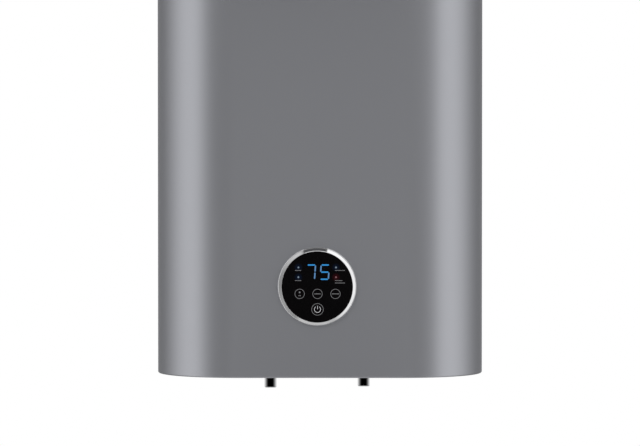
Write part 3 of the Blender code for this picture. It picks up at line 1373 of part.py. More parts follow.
def build_heater():
    centre_y = -(BRACKET_STANDOFF + CASING_RADIUS)
    casing = frame("casing_frame", (0.0, centre_y, -UPPER_BRACKET_LEVEL))
    panel_turn = (math.pi / 2, 0.0, 0.0)
    control = frame("control_axis", (-SERVICE_SHIFT, -CASING_RADIUS, CONTROL_HEIGHT), panel_turn, casing)
    service = frame("service_cover_slide", (0.0, 0.0, 0.0), parent=casing)
    ways = build_tanks(casing)
    build_pipes(casing)
    build_flange("cold", 1, casing)
    build_flange("hot", -1, casing)
    build_casing(casing, control)
    build_top_cap(casing)
    build_bottom_cap(casing, cap_ways(casing))
    build_cover(service)
    build_gland(casing)
    build_foam(casing, control, ways)
    build_mounting(casing)
    build_control_shell(control, casing)
    build_display(control)
    build_bridge(casing)
    build_power_board(casing)
    build_devices(casing)
    build_wires(casing)


clear_scene()
build_heater()
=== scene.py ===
"""The looks of a flat two-tank water heater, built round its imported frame.

Lengths are in metres. The heater hangs on a wall at y = 0, its front faces -Y, and +Z is up.
"""

import json
import math

import bmesh
import bpy
import numpy as np
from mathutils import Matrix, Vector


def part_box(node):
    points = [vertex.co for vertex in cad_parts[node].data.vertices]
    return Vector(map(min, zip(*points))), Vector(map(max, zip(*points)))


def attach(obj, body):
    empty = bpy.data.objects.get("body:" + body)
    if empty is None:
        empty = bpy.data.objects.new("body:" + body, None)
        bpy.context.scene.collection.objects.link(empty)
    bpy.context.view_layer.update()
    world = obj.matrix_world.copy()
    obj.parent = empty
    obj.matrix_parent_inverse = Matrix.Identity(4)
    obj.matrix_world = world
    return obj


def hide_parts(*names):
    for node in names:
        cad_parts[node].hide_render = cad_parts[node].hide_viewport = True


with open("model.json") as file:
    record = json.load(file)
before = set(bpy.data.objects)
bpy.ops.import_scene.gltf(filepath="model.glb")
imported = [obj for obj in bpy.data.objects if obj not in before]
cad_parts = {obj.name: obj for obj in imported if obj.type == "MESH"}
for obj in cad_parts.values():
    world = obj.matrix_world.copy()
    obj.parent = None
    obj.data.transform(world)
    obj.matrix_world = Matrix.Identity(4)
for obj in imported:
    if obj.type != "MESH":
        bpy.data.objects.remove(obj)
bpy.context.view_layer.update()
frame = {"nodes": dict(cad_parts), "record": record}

TURN = math.tau
WELD = 1e-6
SMOOTH_ANGLE = math.radians(32)

# The casing, measured from the middle of its underside
CASING_Y = -0.153
CASING_Z = -0.670
CASING_RADIUS = 0.141
CASING_SHEET = 0.001
HALF_FLAT = 0.137
RIM_RADIUS = 0.003
RIM_LIP_RADIUS = 0.132
SHELL_TOP = 0.846
CASING_TOP = 0.860
CAP_SEAT = 0.8463
CAP_EDGE_RADIUS = 0.012
CAP_WALL = 0.002
CAP_CROWN = 0.0012
END_STEPS = 40
FRONT_Y = CASING_Y - CASING_RADIUS

# The control panel: x to the right, y up, and levels outwards from the casing's front
PANEL_X = -0.0047
PANEL_Z = -0.5164
PANEL_HOLE_RADIUS = 0.0605
PANEL_BLOCK = 0.080
PANEL_STEPS = 24
GLASS_RADIUS = 0.0595
GLASS_BASE = 0.0034
GLASS_FACE = 0.0059
GLASS_EDGE = 0.0004
BEZEL_MOUTH = 0.0598
BEZEL_RADIUS = 0.0657
BEZEL_RISE = 0.0009
BEZEL_LIP = 0.0004
BEZEL_STRIP = 0.0008
BEZEL_STRIP_FALL = 0.00018
BEZEL_SKIRT = 0.0652
BEZEL_BASE = 0.0003
BEZEL_CROWN = 0.0071
BEZEL_EDGE = 0.0009
BEZEL_SHOULDER = 0.0003
BEZEL_SEGMENTS = 160

# The marks on the glass
MARK_BASE = 0.0057
MARK_TOP = 0.0060
LIT_EDGE = 0.00005
PRINT_EDGE = 0.00004
DIGIT_WIDTH = 0.016
DIGIT_HEIGHT = 0.0262
DIGIT_PITCH = 0.0232
DIGIT_STROKE = 0.0023
DIGIT_SPLIT = 0.0004
DIGIT_SLANT = math.tan(math.radians(4))
DISPLAY_PLACE = (0.0011, 0.0248)
LAMP_X = 0.0315
LAMP_LEVELS = (0.0326, 0.0162)
LAMP_RADIUS = 0.0015
LAMP_GLOW = 0.0078
KEY_RADIUS = 0.0083
KEY_LINE = 0.0007
KEY_PLACES = ((-0.0294, -0.0117), (0.0005, -0.0117), (0.0306, -0.0117))
POWER_PLACE = (0.0005, -0.0377)
POWER_KEY_RADIUS = 0.0101
POWER_RADIUS = 0.0055
POWER_LINE = 0.0006
POWER_OPENING = math.radians(70)
DASH_PITCH = 0.0021
DASH_LENGTH = 0.0015
CAPTION_HEIGHT = 0.0011
KEY_MARK_HEIGHT = 0.0014
# Each caption has its left end, number of dashes and level. Each key has its number of dashes.
CAPTIONS = (
    (-0.0370, 5, 0.0276), (-0.0370, 5, 0.0106), (0.0300, 8, 0.0276), (0.0300, 6, 0.0106), (0.0300, 8, 0.0066)
)
KEY_MARKS = (2, 5, 6)
KEY_DOT_RADIUS = 0.0014
KEY_DOT_RISE = 0.0026
KEY_MARK_FALL = 0.0030

# The water pipes, and the coloured rings round them
PIPE_PLACES = (-0.085, 0.075)
PIPE_RADIUS = 0.0104775
PIPE_BORE = 0.007
PIPE_CHAMFER = 0.0012
PIPE_SEGMENTS = 64
RING_BORE = 0.0109775
RING_COLLAR = 0.0124775
RING_FLANGE = 0.005

# The underside
OPENING_RADIUS = 0.056
DISH_RADIUS = 0.060
COVER_RADIUS = 0.071
COVER_FLOOR = 0.003
COVER_FLANGE_LEVEL = 0.0142
COVER_EDGE = 0.004
COVER_SHEET = 0.0015
COVER_BLOCK = 0.030
SCREW_X = 0.100
CAP_LEVEL = 0.016
CAP_RADIUS = 0.1397
CAP_SHEET = 0.0015
SKIRT_RADIUS = 0.1375
SKIRT_BOTTOM = 0.0013
GLAND_PLACE = (0.030, 0.1035)
GLAND_FLATS = 0.022

# The service space. The gap is between parts that are screwed on each other.
GAP = 0.0003
PLATE_BOTTOM = 0.0659
PLATE_TOP = 0.0709
ROD_OFFSET = 0.014
LEG_OFFSET = 0.015
BRIDGE_LEG = 0.062
BRIDGE_FOOT = 0.0193
BRIDGE_TOP = 0.0575
BRIDGE_UNDER = 0.056
BRIDGE_SHEET = 0.0015
BRIDGE_LEFT = -0.060
BRIDGE_RIGHT = 0.050
WINDOW_CENTRE = (-0.005, 0.0378)
BOARD_X = -0.0248
BOARD_TOP = 0.0494
BOARD_SHEET = 0.0016
BOARD_FITTING = BOARD_TOP - BOARD_SHEET - GAP
TRANSFORMER_X = -0.013
RELAY_X = -0.043
RELAY_Y = 0.018
DEVICE_X = 0.0302
DEVICE_SPREAD = 0.024

# The wall brackets
BRACKET_LEVELS = (0.670, 0.190)
BRACKET_HEIGHT = 0.050
BRACKET_END = 0.165
BRACKET_CORNER = 0.007
BRACKET_SEAT = 0.1438
BRACKET_FACE = 0.153
SLOT_PLACES = (-0.060, 0.060)
BOLT_SEAT = 0.1441
BOLT_FLATS = 0.013

# The studio. Stops are (share, level) pairs: the share of the way round, and how bright it is there.
TENT_RADIUS = 4.0
TENT_CENTRE = (PANEL_X, FRONT_Y, PANEL_Z)
TENT_STRENGTH = 1.25
TENT_SIDES = (
    (0.0, 0.158), (0.23, 0.158), (0.28, 0.39), (0.34, 0.86), (0.45, 0.87), (0.53, 0.68), (0.62, 0.36),
    (0.72, 0.16), (0.79, 0.155), (0.86, 0.22), (1.0, 0.36),
)
TENT_TOP, TENT_BOTTOM, TENT_GLOW = 0.95, 0.30, 0.12
BEZEL_RING_LEVELS = (
    (0.0, 0.36), (0.042, 0.36), (0.083, 0.40), (0.115, 0.10), (0.167, 0.14), (0.208, 0.17), (0.25, 0.13),
    (0.29, 0.07), (0.333, 0.10), (0.375, 0.18), (0.417, 0.25), (0.44, 0.23), (0.448, 0.0), (0.530, 0.0),
    (0.538, 0.70), (0.60, 0.72), (0.66, 0.76), (0.75, 0.78), (0.79, 0.70), (0.84, 0.70), (0.875, 0.56),
    (0.917, 0.27), (0.95, 0.36), (1.0, 0.36),
)
BEZEL_EDGE_LEVELS = (
    (0.0, 0.5), (0.21, 0.5), (0.30, 0.25), (0.36, 0.02), (0.56, 0.02), (0.60, 0.2), (1.0, 0.2),
)
BEZEL_LIGHT_RADIUS = 1.4
LIP_LEVEL = 1.1
PATCH_CLOCK = 0.4934
LOW_PATCH_REACH, HIGH_PATCH_REACH = (0.0397, 0.0447), (0.446, 0.451)
PATCH_COLOUR = (0.088, 0.088, 0.092)
FLAG_RADIUS = 0.070
FLAG_BOTTOM = -0.712
FLAG_TOP = -0.672
PIPE_FLAG_LEVELS = (
    (0.0, 0.0), (0.20, 0.0), (0.29, 0.012), (0.41, 0.16), (0.55, 0.50), (0.74, 0.80), (1.0, 0.80),
)
FLOOR_LEVEL = -1.4
FLOOR_RADIUS = 2.8
STUDIO_SEGMENTS = 96
BLACK, WHITE = (0.0, 0.0, 0.0), (1.0, 1.0, 1.0)

# The line in which the panel's glass mirrors the camera, and pairs of angles off it, in degrees.
# A light eases in or out between the two angles of a pair.
MIRROR_PITCH = math.radians(2.65)
GLASS_FLAG_EDGE = (3.0, 4.5)
TENT_GLOW_END = (9.0, 17.0)
RING_START, RING_END = (8, 12), (40, 50)
RING_EDGE_START = (29, 31)
LOW_PATCH_START, LOW_PATCH_END = (7, 9), (18.5, 20)
HIGH_PATCH_START = (30, 33)
LIP_END = (30, 34)

# The lamps, each with its place, size and power, and the camera
LAMP_TARGET = (0.0, CASING_Y, -0.25)
LAMPS = (
    ("key", (-1.6, -3.4, 1.6), 2.0, 75.0), ("fill", (2.2, -3.0, 0.2), 2.4, 45.0),
    ("back", (0.3, 3.2, 1.8), 2.4, 60.0),
)
ROOM_LIGHT, ROOM_SEEN = 0.45, 0.55
CAMERA_PLACE = (0.0, -6.264, -0.240)
CAMERA_PITCH = math.radians(1.6257)
CAMERA_LENS = 200.36
SENSOR_WIDTH = 36.0


class Value:
    """One value of a finish's nodes, so that sums on it are written as sums."""

    def __init__(self, finish, socket):
        self.finish = finish
        self.socket = socket

    def __add__(self, other):
        return self.finish.maths("ADD", self, other)

    def __sub__(self, other):
        return self.finish.maths("SUBTRACT", self, other)

    def __rsub__(self, other):
        return self.finish.maths("SUBTRACT", other, self)

    def __mul__(self, other):
        return self.finish.maths("MULTIPLY", self, other)

    def __truediv__(self, other):
        return self.finish.maths("DIVIDE", self, other)

    def __abs__(self):
        return self.finish.maths("ABSOLUTE", self)

    __radd__ = __add__
    __rmul__ = __mul__

    def step(self, low, high, start=0.0, end=1.0):
        """Eases from start to end as the value goes from low to high."""
        values = {0: self, 1: low, 2: high, 3: start, 4: end}
        return self.finish.node("ShaderNodeMapRange", {"interpolation_type": "SMOOTHSTEP"}, values)

    def rises(self, angles):
        """Eases from 0 to 1 between two angles in degrees. The value is in radians."""
        return self.step(*np.radians(angles).tolist())

    def falls(self, angles, start=1.0):
        """Eases from start to 0 between two angles in degrees. The value is in radians."""
        return self.step(*np.radians(angles).tolist(), start, 0.0)


class Finish:
    """A procedural finish: a material, and one method that adds any node to it."""

    def __init__(self, name, kind="ShaderNodeBsdfPrincipled", **sockets):
        self.name = name
        self.material = bpy.data.materials.new(name)
        self.material.use_nodes = True
        self.tree = self.material.node_tree
        self.start(kind, "ShaderNodeOutputMaterial")
        self.paint(**sockets)

    def start(self, kind, output_kind):
        """Empties the tree and gives it one shader, linked to its output."""
        self.tree.nodes.clear()
        self.shader = self.node(kind).socket.node
        output = self.tree.nodes.new(output_kind)
        self.tree.links.new(self.shader.outputs[0], output.inputs["Surface"])

    def node(self, kind, settings=None, values=None, output=0):
        """Adds a node: its settings first, then the numbers or links of its sockets."""
        node = self.tree.nodes.new(kind)
        for key, value in (settings or {}).items():
            setattr(node, key, value)
        for key, value in (values or {}).items():
            self.feed(node.inputs[key], value)
        return Value(self, node.outputs[output])

    def feed(self, socket, value):
        """Links a value to a socket, or writes a number or colour in it."""
        if isinstance(value, Value):
            self.tree.links.new(value.socket, socket)
        elif isinstance(value, tuple) and len(value) == 3 and socket.type == "RGBA":
            socket.default_value = (*value, 1.0)
        else:
            socket.default_value = value

    def paint(self, **sockets):
        """Feeds sockets of the shader, named with underscores for spaces."""
        for key, value in sockets.items():
            self.feed(self.shader.inputs[key.replace("_", " ")], value)
        return self

    def maths(self, operation, *values):
        return self.node("ShaderNodeMath", {"operation": operation}, dict(enumerate(values)))

    def place(self, moved=(0.0, 0.0, 0.0), stretched=(1.0, 1.0, 1.0)):
        """The point on the piece, in metres, with its pattern moved or stretched."""
        point = self.node("ShaderNodeTexCoord", output="Object")
        return self.node("ShaderNodeMapping", {}, {"Vector": point, "Location": moved, "Scale": stretched})

    def split(self, vector):
        """The three parts of a point, direction or colour."""
        split = self.node("ShaderNodeSeparateXYZ", {}, {0: vector}).socket.node
        return [Value(self, output) for output in split.outputs]

    def noise(self, scale, detail=2.0, vector=None, roughness=0.5):
        values = {"Vector": vector or self.place(), "Scale": scale, "Detail": detail, "Roughness": roughness}
        return self.node("ShaderNodeTexNoise", {}, values)

    def cells(self, scale, output=0):
        """Round cells: how far the point is from its cell's middle, or for output 1 the cell's colour."""
        return self.node("ShaderNodeTexVoronoi", {}, {"Vector": self.place(), "Scale": scale}, output)

    def mix(self, share, first, second):
        """A colour between two colours."""
        return self.node("ShaderNodeMix", {"data_type": "RGBA"}, {0: share, 6: first, 7: second}, 2)

    def grey(self, level):
        return self.mix(level, BLACK, WHITE)

    def level_by(self, share, stops):
        """A level that runs through (share, level) stops."""
        ramp = self.node("ShaderNodeValToRGB", {}, {0: share})
        elements = ramp.socket.node.color_ramp.elements
        while len(elements) < len(stops):
            elements.new(0.5)
        for element, (place, level) in zip(elements, stops):
            element.position = place
            element.color = (level, level, level, 1.0)
        return self.split(ramp)[0]

    def relief(self, height, depth, strength=1.0):
        """A bump from a height, which is a share of the depth."""
        values = {"Height": height, "Distance": depth, "Strength": strength}
        return self.paint(Normal=self.node("ShaderNodeBump", {}, values))


class Studio(Finish):
    """The world's nodes, set up in the way of a finish."""

    def __init__(self, world):
        world.use_nodes = True
        self.tree = world.node_tree
        self.start("ShaderNodeBackground", "ShaderNodeOutputWorld")


class Shape:
    """Surfaces given as grids of points, joined into one mesh.

    A patch of rows and columns of points gets one four-sided face between each four neighbours.
    Faces look outwards where the columns run to the right and the rows run up, seen from outside.
    """

    def __init__(self):
        self.points = []
        self.faces = []
        self.paints = []
        self.total = 0

    def patch(self, grid, around=False, paint=0):
        grid = np.asarray(grid, float)
        if around:
            grid = np.concatenate([grid, grid[:, :1]], axis=1)
        rows, columns = grid.shape[:2]
        index = np.arange(rows * columns).reshape(rows, columns) + self.total
        corners = (index[:-1, :-1], index[:-1, 1:], index[1:, 1:], index[1:, :-1])
        faces = np.stack(corners, -1).reshape(-1, 4)
        self.points.append(grid.reshape(-1, 3))
        self.faces.append(faces)
        self.paints.append(np.broadcast_to(paint, (rows - 1, columns - 1)).reshape(-1))
        self.total += rows * columns
        return self

    def turned(self, profile, segments, place, closed=False, paint=0):
        """A profile of (radius, level) carried round an axis: x = radius cos turn, y = radius sin turn.

        A third column gives how far a row is a hexagon, whose corners are at the radius. Its sides
        are at radius cos 30 / cos (turn off the middle of the side).
        """
        profile = looped(profile) if closed else np.asarray(profile, float)
        turn = np.arange(segments) * TURN / segments
        radius, level = profile[:, :1], profile[:, 1:2]
        if profile.shape[1] > 2:
            side = np.cos(TURN / 12) / np.cos(turn % (TURN / 6) - TURN / 12)
            radius = radius * (1 + profile[:, 2:] * (side - 1))
        grid = np.stack([radius * np.cos(turn), radius * np.sin(turn), level + 0 * turn], -1)
        return self.patch(place(grid), around=True, paint=paint)

    def carried(self, path, section, across, paint=0):
        """A section carried along a path: point = path + section x times across + section y times up.

        Up is the path's direction crossed with across. The two ends are closed by a row that
        gathers in the path's own point.
        """
        path = np.asarray(path, float)
        along = np.gradient(path, axis=0)
        along /= np.linalg.norm(along, axis=1, keepdims=True)
        across = np.broadcast_to(np.asarray(across, float), path.shape)
        across = across - (across * along).sum(1, keepdims=True) * along
        across = across / np.linalg.norm(across, axis=1, keepdims=True)
        up = np.cross(along, across)
        section = np.asarray(section, float)
        grid = path[:, None] + section[:, 0, None] * across[:, None] + section[:, 1, None] * up[:, None]
        middle = np.repeat(path[:, None], len(section), axis=1)
        return self.patch(np.concatenate([middle[:1], grid, middle[-1:]]), around=True, paint=paint)

    def mark(self, outline, edge, place, paint=0):
        """A mark of any convex outline on the glass.

        Its rows rise from the middle of its base to its edge, up the edge, in over a chamfer of the
        edge's size, and back to the middle of its top.
        """
        outline = np.asarray(outline, float)
        middle = outline.mean(0)
        reach = outline - middle
        inset = 1 - edge / np.linalg.norm(reach, axis=1, keepdims=True)
        rows = ((0, MARK_BASE), (1, MARK_BASE), (1, MARK_TOP - edge), (inset, MARK_TOP), (0, MARK_TOP))
        grid = [np.c_[middle + reach * share, np.full(len(outline), level)] for share, level in rows]
        return self.patch(place(np.stack(grid)), around=True, paint=paint)

    def block(self, outline, rows, place, paint=0, lid=True):
        """A solid of an outline about its centre, from rows of (inset, level).

        An inset row is the outline times (1 - inset / half size), across and along. The first row
        is closed, and the last one too where the block has a lid.
        """
        outline = np.asarray(outline, float)
        half = outline.max(0)
        rows = [(None, rows[0][1]), *rows] + [(None, rows[-1][1])] * lid
        grid = []
        for inset, level in rows:
            share = 0 * half if inset is None else 1 - inset / half
            grid.append(np.c_[outline * share, np.full(len(outline), level)])
        return self.patch(place(np.stack(grid)), around=True, paint=paint)

    def pierced(self, x, y, holes, lay):
        """A flat sheet of grid lines, with a hole in each given square.

        Each hole is (centre, half size of its square, the edge's points from the square's points).
        Lay turns (across, along) pairs into points.
        """
        x, y = np.asarray(x, float), np.asarray(y, float)
        middle = np.stack(np.meshgrid((x[:-1] + x[1:]) / 2, (y[:-1] + y[1:]) / 2), -1)
        sound = np.ones(middle.shape[:2], bool)
        for centre, half, edge in holes:
            reach = np.abs(middle - centre) / half
            sound &= (reach > 1).any(-1)
            inside = [axis[np.abs(axis - c) < h + WELD] for axis, c, h in zip((x, y), centre, half)]
            square = square_edge(*inside)
            self.patch(lay(hole_patch(square, edge(square), 4)), around=True)
        for row, column in zip(*np.nonzero(sound)):
            corner = np.stack(np.meshgrid(x[column : column + 2], y[row : row + 2]), -1)
            self.patch(lay(corner))
        return self

    def made(self, name, finishes, thickness=0.0):
        """Writes the mesh, merges its seams, gives it its finishes and thickens it inwards."""
        mesh = bpy.data.meshes.new(name)
        points, faces = np.concatenate(self.points), np.concatenate(self.faces)
        mesh.from_pydata(points.tolist(), [], faces.tolist())
        mesh.polygons.foreach_set("material_index", np.concatenate(self.paints))
        weld = bmesh.new()
        weld.from_mesh(mesh)
        bmesh.ops.remove_doubles(weld, verts=weld.verts, dist=WELD)
        bmesh.ops.dissolve_degenerate(weld, edges=weld.edges, dist=WELD)
        weld.to_mesh(mesh)
        weld.free()
        piece = bpy.data.objects.new(name, mesh)
        bpy.context.scene.collection.objects.link(piece)
        for finish in finishes:
            mesh.materials.append(finish.material)
        if thickness:
            wall = piece.modifiers.new("wall", "SOLIDIFY")
            wall.thickness = thickness
            wall.offset = -1.0
            wall.use_even_offset = True
        mesh.shade_smooth()
        mesh.set_sharp_from_angle(angle=SMOOTH_ANGLE)
        level = piece.modifiers.new("level flats", "WEIGHTED_NORMAL")
        level.keep_sharp = True
        return piece

    def piece(self, name, slot, *replaced, finishes=(), body="water_heater", thickness=0.0):
        """A piece of the heater, on its body and in its slot, and the nodes that it replaces.

        It has the slot's own finish, unless it names others.
        """
        piece = self.made(name, [FINISHES[key] for key in finishes or (slot,)], thickness)
        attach(piece, body)
        if replaced:
            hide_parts(*replaced)
        return piece

    def staged(self, name, finish):
        """A piece of the studio, which isn't part of the heater."""
        piece = self.made(name, [finish])
        return piece


def looped(profile):
    """A closed profile, its first point repeated at its end."""
    profile = np.asarray(profile, float)
    return np.concatenate([profile, profile[:1]])


def eased(corners, radii, steps=6, closed=False):
    """A profile whose corners are rounded.

    Each arc touches both edges of its corner at radius / tan(half angle) from it. Its centre lies
    on the corner's bisector, at radius / sin(half angle).
    """
    corners = np.asarray(corners, float)
    radii = np.array(np.broadcast_to(radii, len(corners)), float)
    before = np.roll(corners, 1, axis=0) - corners
    after = np.roll(corners, -1, axis=0) - corners
    if not closed:
        before[0], after[-1] = -after[0], -before[-1]
        radii[[0, -1]] = 0.0
    before /= np.linalg.norm(before, axis=1, keepdims=True)
    after /= np.linalg.norm(after, axis=1, keepdims=True)
    half = np.arccos(np.clip((before * after).sum(1), -1.0, 1.0)) / 2
    bisector = before + after
    length = np.linalg.norm(bisector, axis=1)
    round_ones = (radii > 0) & (length > WELD)
    radii = np.where(round_ones, radii, 0.0)
    bisector = bisector / np.where(length > WELD, length, 1.0)[:, None]
    centre = corners + bisector * (radii / np.sin(half))[:, None]
    reach = (radii / np.tan(half))[:, None]
    start, end = corners + before * reach - centre, corners + after * reach - centre
    sweep = np.where(round_ones, math.pi - 2 * half, 1.0)
    share = np.linspace(0.0, 1.0, steps + 1)
    weight_start = np.sin((1 - share) * sweep[:, None]) / np.sin(sweep[:, None])
    weight_end = np.sin(share * sweep[:, None]) / np.sin(sweep[:, None])
    arcs = centre[:, None] + weight_start[..., None] * start[:, None] + weight_end[..., None] * end[:, None]
    sharp = np.repeat(corners[:, None], steps + 1, axis=1)
    return np.where(round_ones[:, None, None], arcs, sharp).reshape(-1, 2)


def on_casing(points):
    """Casing coordinates, from the middle of its underside, made room coordinates."""
    return np.asarray(points) + (0.0, CASING_Y, CASING_Z)


def on_panel(points):
    """Panel coordinates (right, up, outwards) made room coordinates."""
    right, up, out = np.moveaxis(np.asarray(points), -1, 0)
    return np.stack([PANEL_X + right, FRONT_Y - out, PANEL_Z + up], -1)


def panel_spot(place):
    """Coordinates about one spot of the panel, made room coordinates."""
    return lambda points: on_panel(np.asarray(points) + (*place, 0.0))


def casing_spot(x, y):
    """Coordinates about an upright axis of the casing, made room coordinates."""
    return lambda points: on_casing(np.asarray(points) + (x, y, 0.0))


def underside_spot(x, y, level):
    """Coordinates about a spot of the underside, with up made down, made room coordinates."""
    return lambda points: on_casing(np.asarray(points) * (1.0, -1.0, -1.0) + (x, y, level))


def rear_spot(x, y, level):
    """Coordinates about a spot of the back, with up made backwards, made room coordinates."""

    def placed(points):
        right, up, out = np.moveaxis(np.asarray(points), -1, 0)
        return on_casing(np.stack([x + right, y + out, level - up], -1))

    return placed


def oval_columns(front, back=(-HALF_FLAT, HALF_FLAT), steps=END_STEPS):
    """The columns of a flat-sided oval, anticlockwise from above, from the front's first point on.

    Each column is an x on the middle line and a direction from there: a point of the oval is the
    middle point plus radius times direction.
    """
    sweep = np.linspace(-math.pi / 2, math.pi / 2, steps + 1)
    front, back = np.asarray(front, float), np.asarray(back, float)[::-1]
    x = np.concatenate([front, np.full(steps + 1, HALF_FLAT), back, np.full(steps + 1, -HALF_FLAT)])
    ahead, behind = np.full(len(front), -math.pi / 2), np.full(len(back), math.pi / 2)
    turn = np.concatenate([ahead, sweep, behind, sweep + math.pi])
    return x, np.cos(turn), np.sin(turn)


def plain_oval():
    """The columns of an oval whose flat sides have no fitting to meet."""
    flat = np.linspace(-HALF_FLAT, HALF_FLAT, 9)
    return oval_columns(flat, flat)


def oval_wall(profile, columns):
    """A wall on an oval: a profile of (radius, level) carried round its columns."""
    profile = np.asarray(profile, float)
    x, lean_x, lean_y = columns
    radius, level = profile[:, :1], profile[:, 1:]
    return np.stack([x + radius * lean_x, radius * lean_y, level + 0 * x], -1)


def square_edge(columns, rows):
    """The points of a block of grid lines, once round its edge from its low left corner."""
    x, z = np.asarray(columns, float), np.asarray(rows, float)
    sides = [
        np.stack([x[:-1], np.full(len(x) - 1, z[0])], -1),
        np.stack([np.full(len(z) - 1, x[-1]), z[:-1]], -1),
        np.stack([x[:0:-1], np.full(len(x) - 1, z[-1])], -1),
        np.stack([np.full(len(z) - 1, x[0]), z[:0:-1]], -1),
    ]
    return np.concatenate(sides)


def round_edge(square, centre, radius):
    """The points of a circle that face those of the square round it: centre + radius times direction."""
    spoke = square - centre
    return centre + radius * spoke / np.linalg.norm(spoke, axis=1, keepdims=True)


def slot_edge(square, centre, radius, straight):
    """The points of an upright slot that face those of the square round it.

    The slot's straight sides face the square's sides, and its round ends face the square's ends.
    """
    reach = (square - centre) / np.abs(square - centre).max(0)
    beside = np.abs(reach[:, 0]) > 1 - WELD
    turn = np.where(beside, 0.0, math.pi / 2 * (1 - np.abs(reach[:, 0])))
    level = np.where(beside, reach[:, 1], np.sign(reach[:, 1])) * straight
    x = np.sign(reach[:, 0]) * radius * np.cos(turn)
    return centre + np.stack([x, level + np.sign(reach[:, 1]) * radius * np.sin(turn)], -1)


def hole_patch(square, edge, rings=5):
    """The flat sheet between a square and the edge of a hole in it, as (across, up) pairs.

    Each spoke runs straight: point = edge + share (square - edge).
    """
    share = np.linspace(1.0, 0.0, rings)[:, None, None]
    return edge + share * (square - edge)


def upright(flat, y):
    """(across, up) pairs stood up at one depth."""
    return np.stack([flat[..., 0], np.full(flat.shape[:-1], y), flat[..., 1]], -1)


def level_sheet(flat, z):
    """(across, along) pairs laid at one level."""
    return np.stack([flat[..., 0], flat[..., 1], np.full(flat.shape[:-1], z)], -1)


def soft_rectangle(width, depth, corner, steps=4):
    """The outline of a rectangle with round corners, about its centre."""
    x, y = width / 2, depth / 2
    return eased([(-x, -y), (x, -y), (x, y), (-x, y)], corner, steps, closed=True)


def soft_route(route, steps=8):
    """A smooth path through a lead's points.

    Each span is a cubic with two handles. A handle lies along the mean direction of its point's two
    spans, and is 0.39 of the span's length times the size of that mean.
    """
    route = np.asarray(route, float)
    span = np.diff(route, axis=0)
    length = np.linalg.norm(span, axis=1, keepdims=True)
    before = np.concatenate([span[:1], span])
    after = np.concatenate([span, span[-1:]])
    before_length = np.concatenate([length[:1], length])
    after_length = np.concatenate([length, length[-1:]])
    mean = before / before_length + after / after_length
    mean /= np.linalg.norm(mean, axis=1, keepdims=True) * 2.5614
    limit_before = np.minimum(before_length, 5 * after_length)
    limit_after = np.minimum(after_length, 5 * before_length)
    out_handle = (route + mean * limit_after)[:-1, None]
    in_handle = (route - mean * limit_before)[1:, None]
    t = np.linspace(0.0, 1.0, steps, endpoint=False)[:, None]
    start, end = route[:-1, None], route[1:, None]
    points = (1 - t) ** 3 * start + 3 * (1 - t) ** 2 * t * out_handle
    points = points + 3 * (1 - t) * t**2 * in_handle + t**3 * end
    return np.concatenate([points.reshape(-1, 3), route[-1:]])


def round_section(radius, sides):
    turn = np.arange(sides) * TURN / sides
    return radius * np.stack([np.cos(turn), np.sin(turn)], -1)


def disc(radius, bottom, top, edge):
    """The profile of a round plate with softened edges."""
    return eased([(0, bottom), (radius, bottom), (radius, top), (0, top)], [0, edge, edge, 0], 4)


def thread(root, crest, levels, rise):
    """A thread's profile: at each level the root, and higher by the rise the crest."""
    rows = np.stack([np.tile((root, crest), len(levels)), np.repeat(levels, 2)], -1)
    rows[1::2, 1] += rise
    return rows


def faded(colour, share):
    return tuple(share * part for part in colour)


def casing_paint():
    """Satin silver paint: metal flakes under a thin clear coat, with a faint orange peel."""
    finish = Finish("silver_paint", Metallic=0.8)
    flakes = finish.cells(2600.0, output=1)
    shade = finish.split(flakes)[0] * 0.05 + finish.noise(9.0) * 0.02
    finish.paint(Base_Color=finish.mix(shade, (0.405, 0.411, 0.440), (0.52, 0.53, 0.56)))
    finish.paint(Roughness=finish.noise(35.0) * 0.03 + 0.325)
    return finish.relief(finish.noise(420.0, 3.0), 0.00002, 0.25)


def moulded(name, colour, roughness, metallic=0.0):
    """Moulded plastic: a fine spark-eroded grain, with slight cloudiness in its colour."""
    finish = Finish(name, Metallic=metallic)
    cloud = finish.noise(14.0, 3.0)
    finish.paint(Base_Color=finish.mix(cloud, faded(colour, 0.88), colour))
    grain = 1400.0
    finish.paint(Roughness=finish.noise(grain / 3) * 0.12 + (roughness - 0.06))
    return finish.relief(finish.noise(grain, 4.0, roughness=0.7), 0.00006, 0.6)


def polished(name, colour, roughness):
    """Bright metal: nearly clean, with faint wiping marks in its gloss."""
    finish = Finish(name, Metallic=1.0)
    wipes = finish.noise(60.0, 4.0, finish.place(stretched=(1.0, 1.0, 0.2)))
    finish.paint(Roughness=wipes * roughness + roughness / 2)
    return finish.paint(Base_Color=finish.mix(wipes, colour, faded(colour, 0.96)))


def zinc_plate():
    """Zinc-plated steel: a bluish sheen broken into crystals, each with its own gloss."""
    finish = Finish("zinc_steel", Metallic=0.95)
    crystal = finish.split(finish.cells(190.0, output=1))[0]
    shade = crystal * 0.45 + finish.noise(26.0, 4.0) * 0.55
    finish.paint(Base_Color=finish.mix(shade, (0.47, 0.49, 0.52), (0.74, 0.74, 0.73)))
    finish.paint(Roughness=crystal * 0.12 + finish.noise(300.0) * 0.10 + 0.24)
    return finish.relief(finish.noise(800.0, 3.0) + crystal * 0.3, 0.00003, 0.4)


def foam_skin():
    """Rigid foam: a dull yellow skin full of small open bubbles, with larger ones among them."""
    finish = Finish("rigid_foam", Roughness=0.92)
    small, large = finish.cells(900.0), finish.cells(210.0)
    shade = finish.noise(16.0, 4.0) * 0.65 + small * 0.5
    finish.paint(Base_Color=finish.mix(shade, (0.66, 0.46, 0.20), (0.88, 0.74, 0.44)))
    return finish.relief(small * 0.4 + large * 0.6, 0.0007, 0.9)


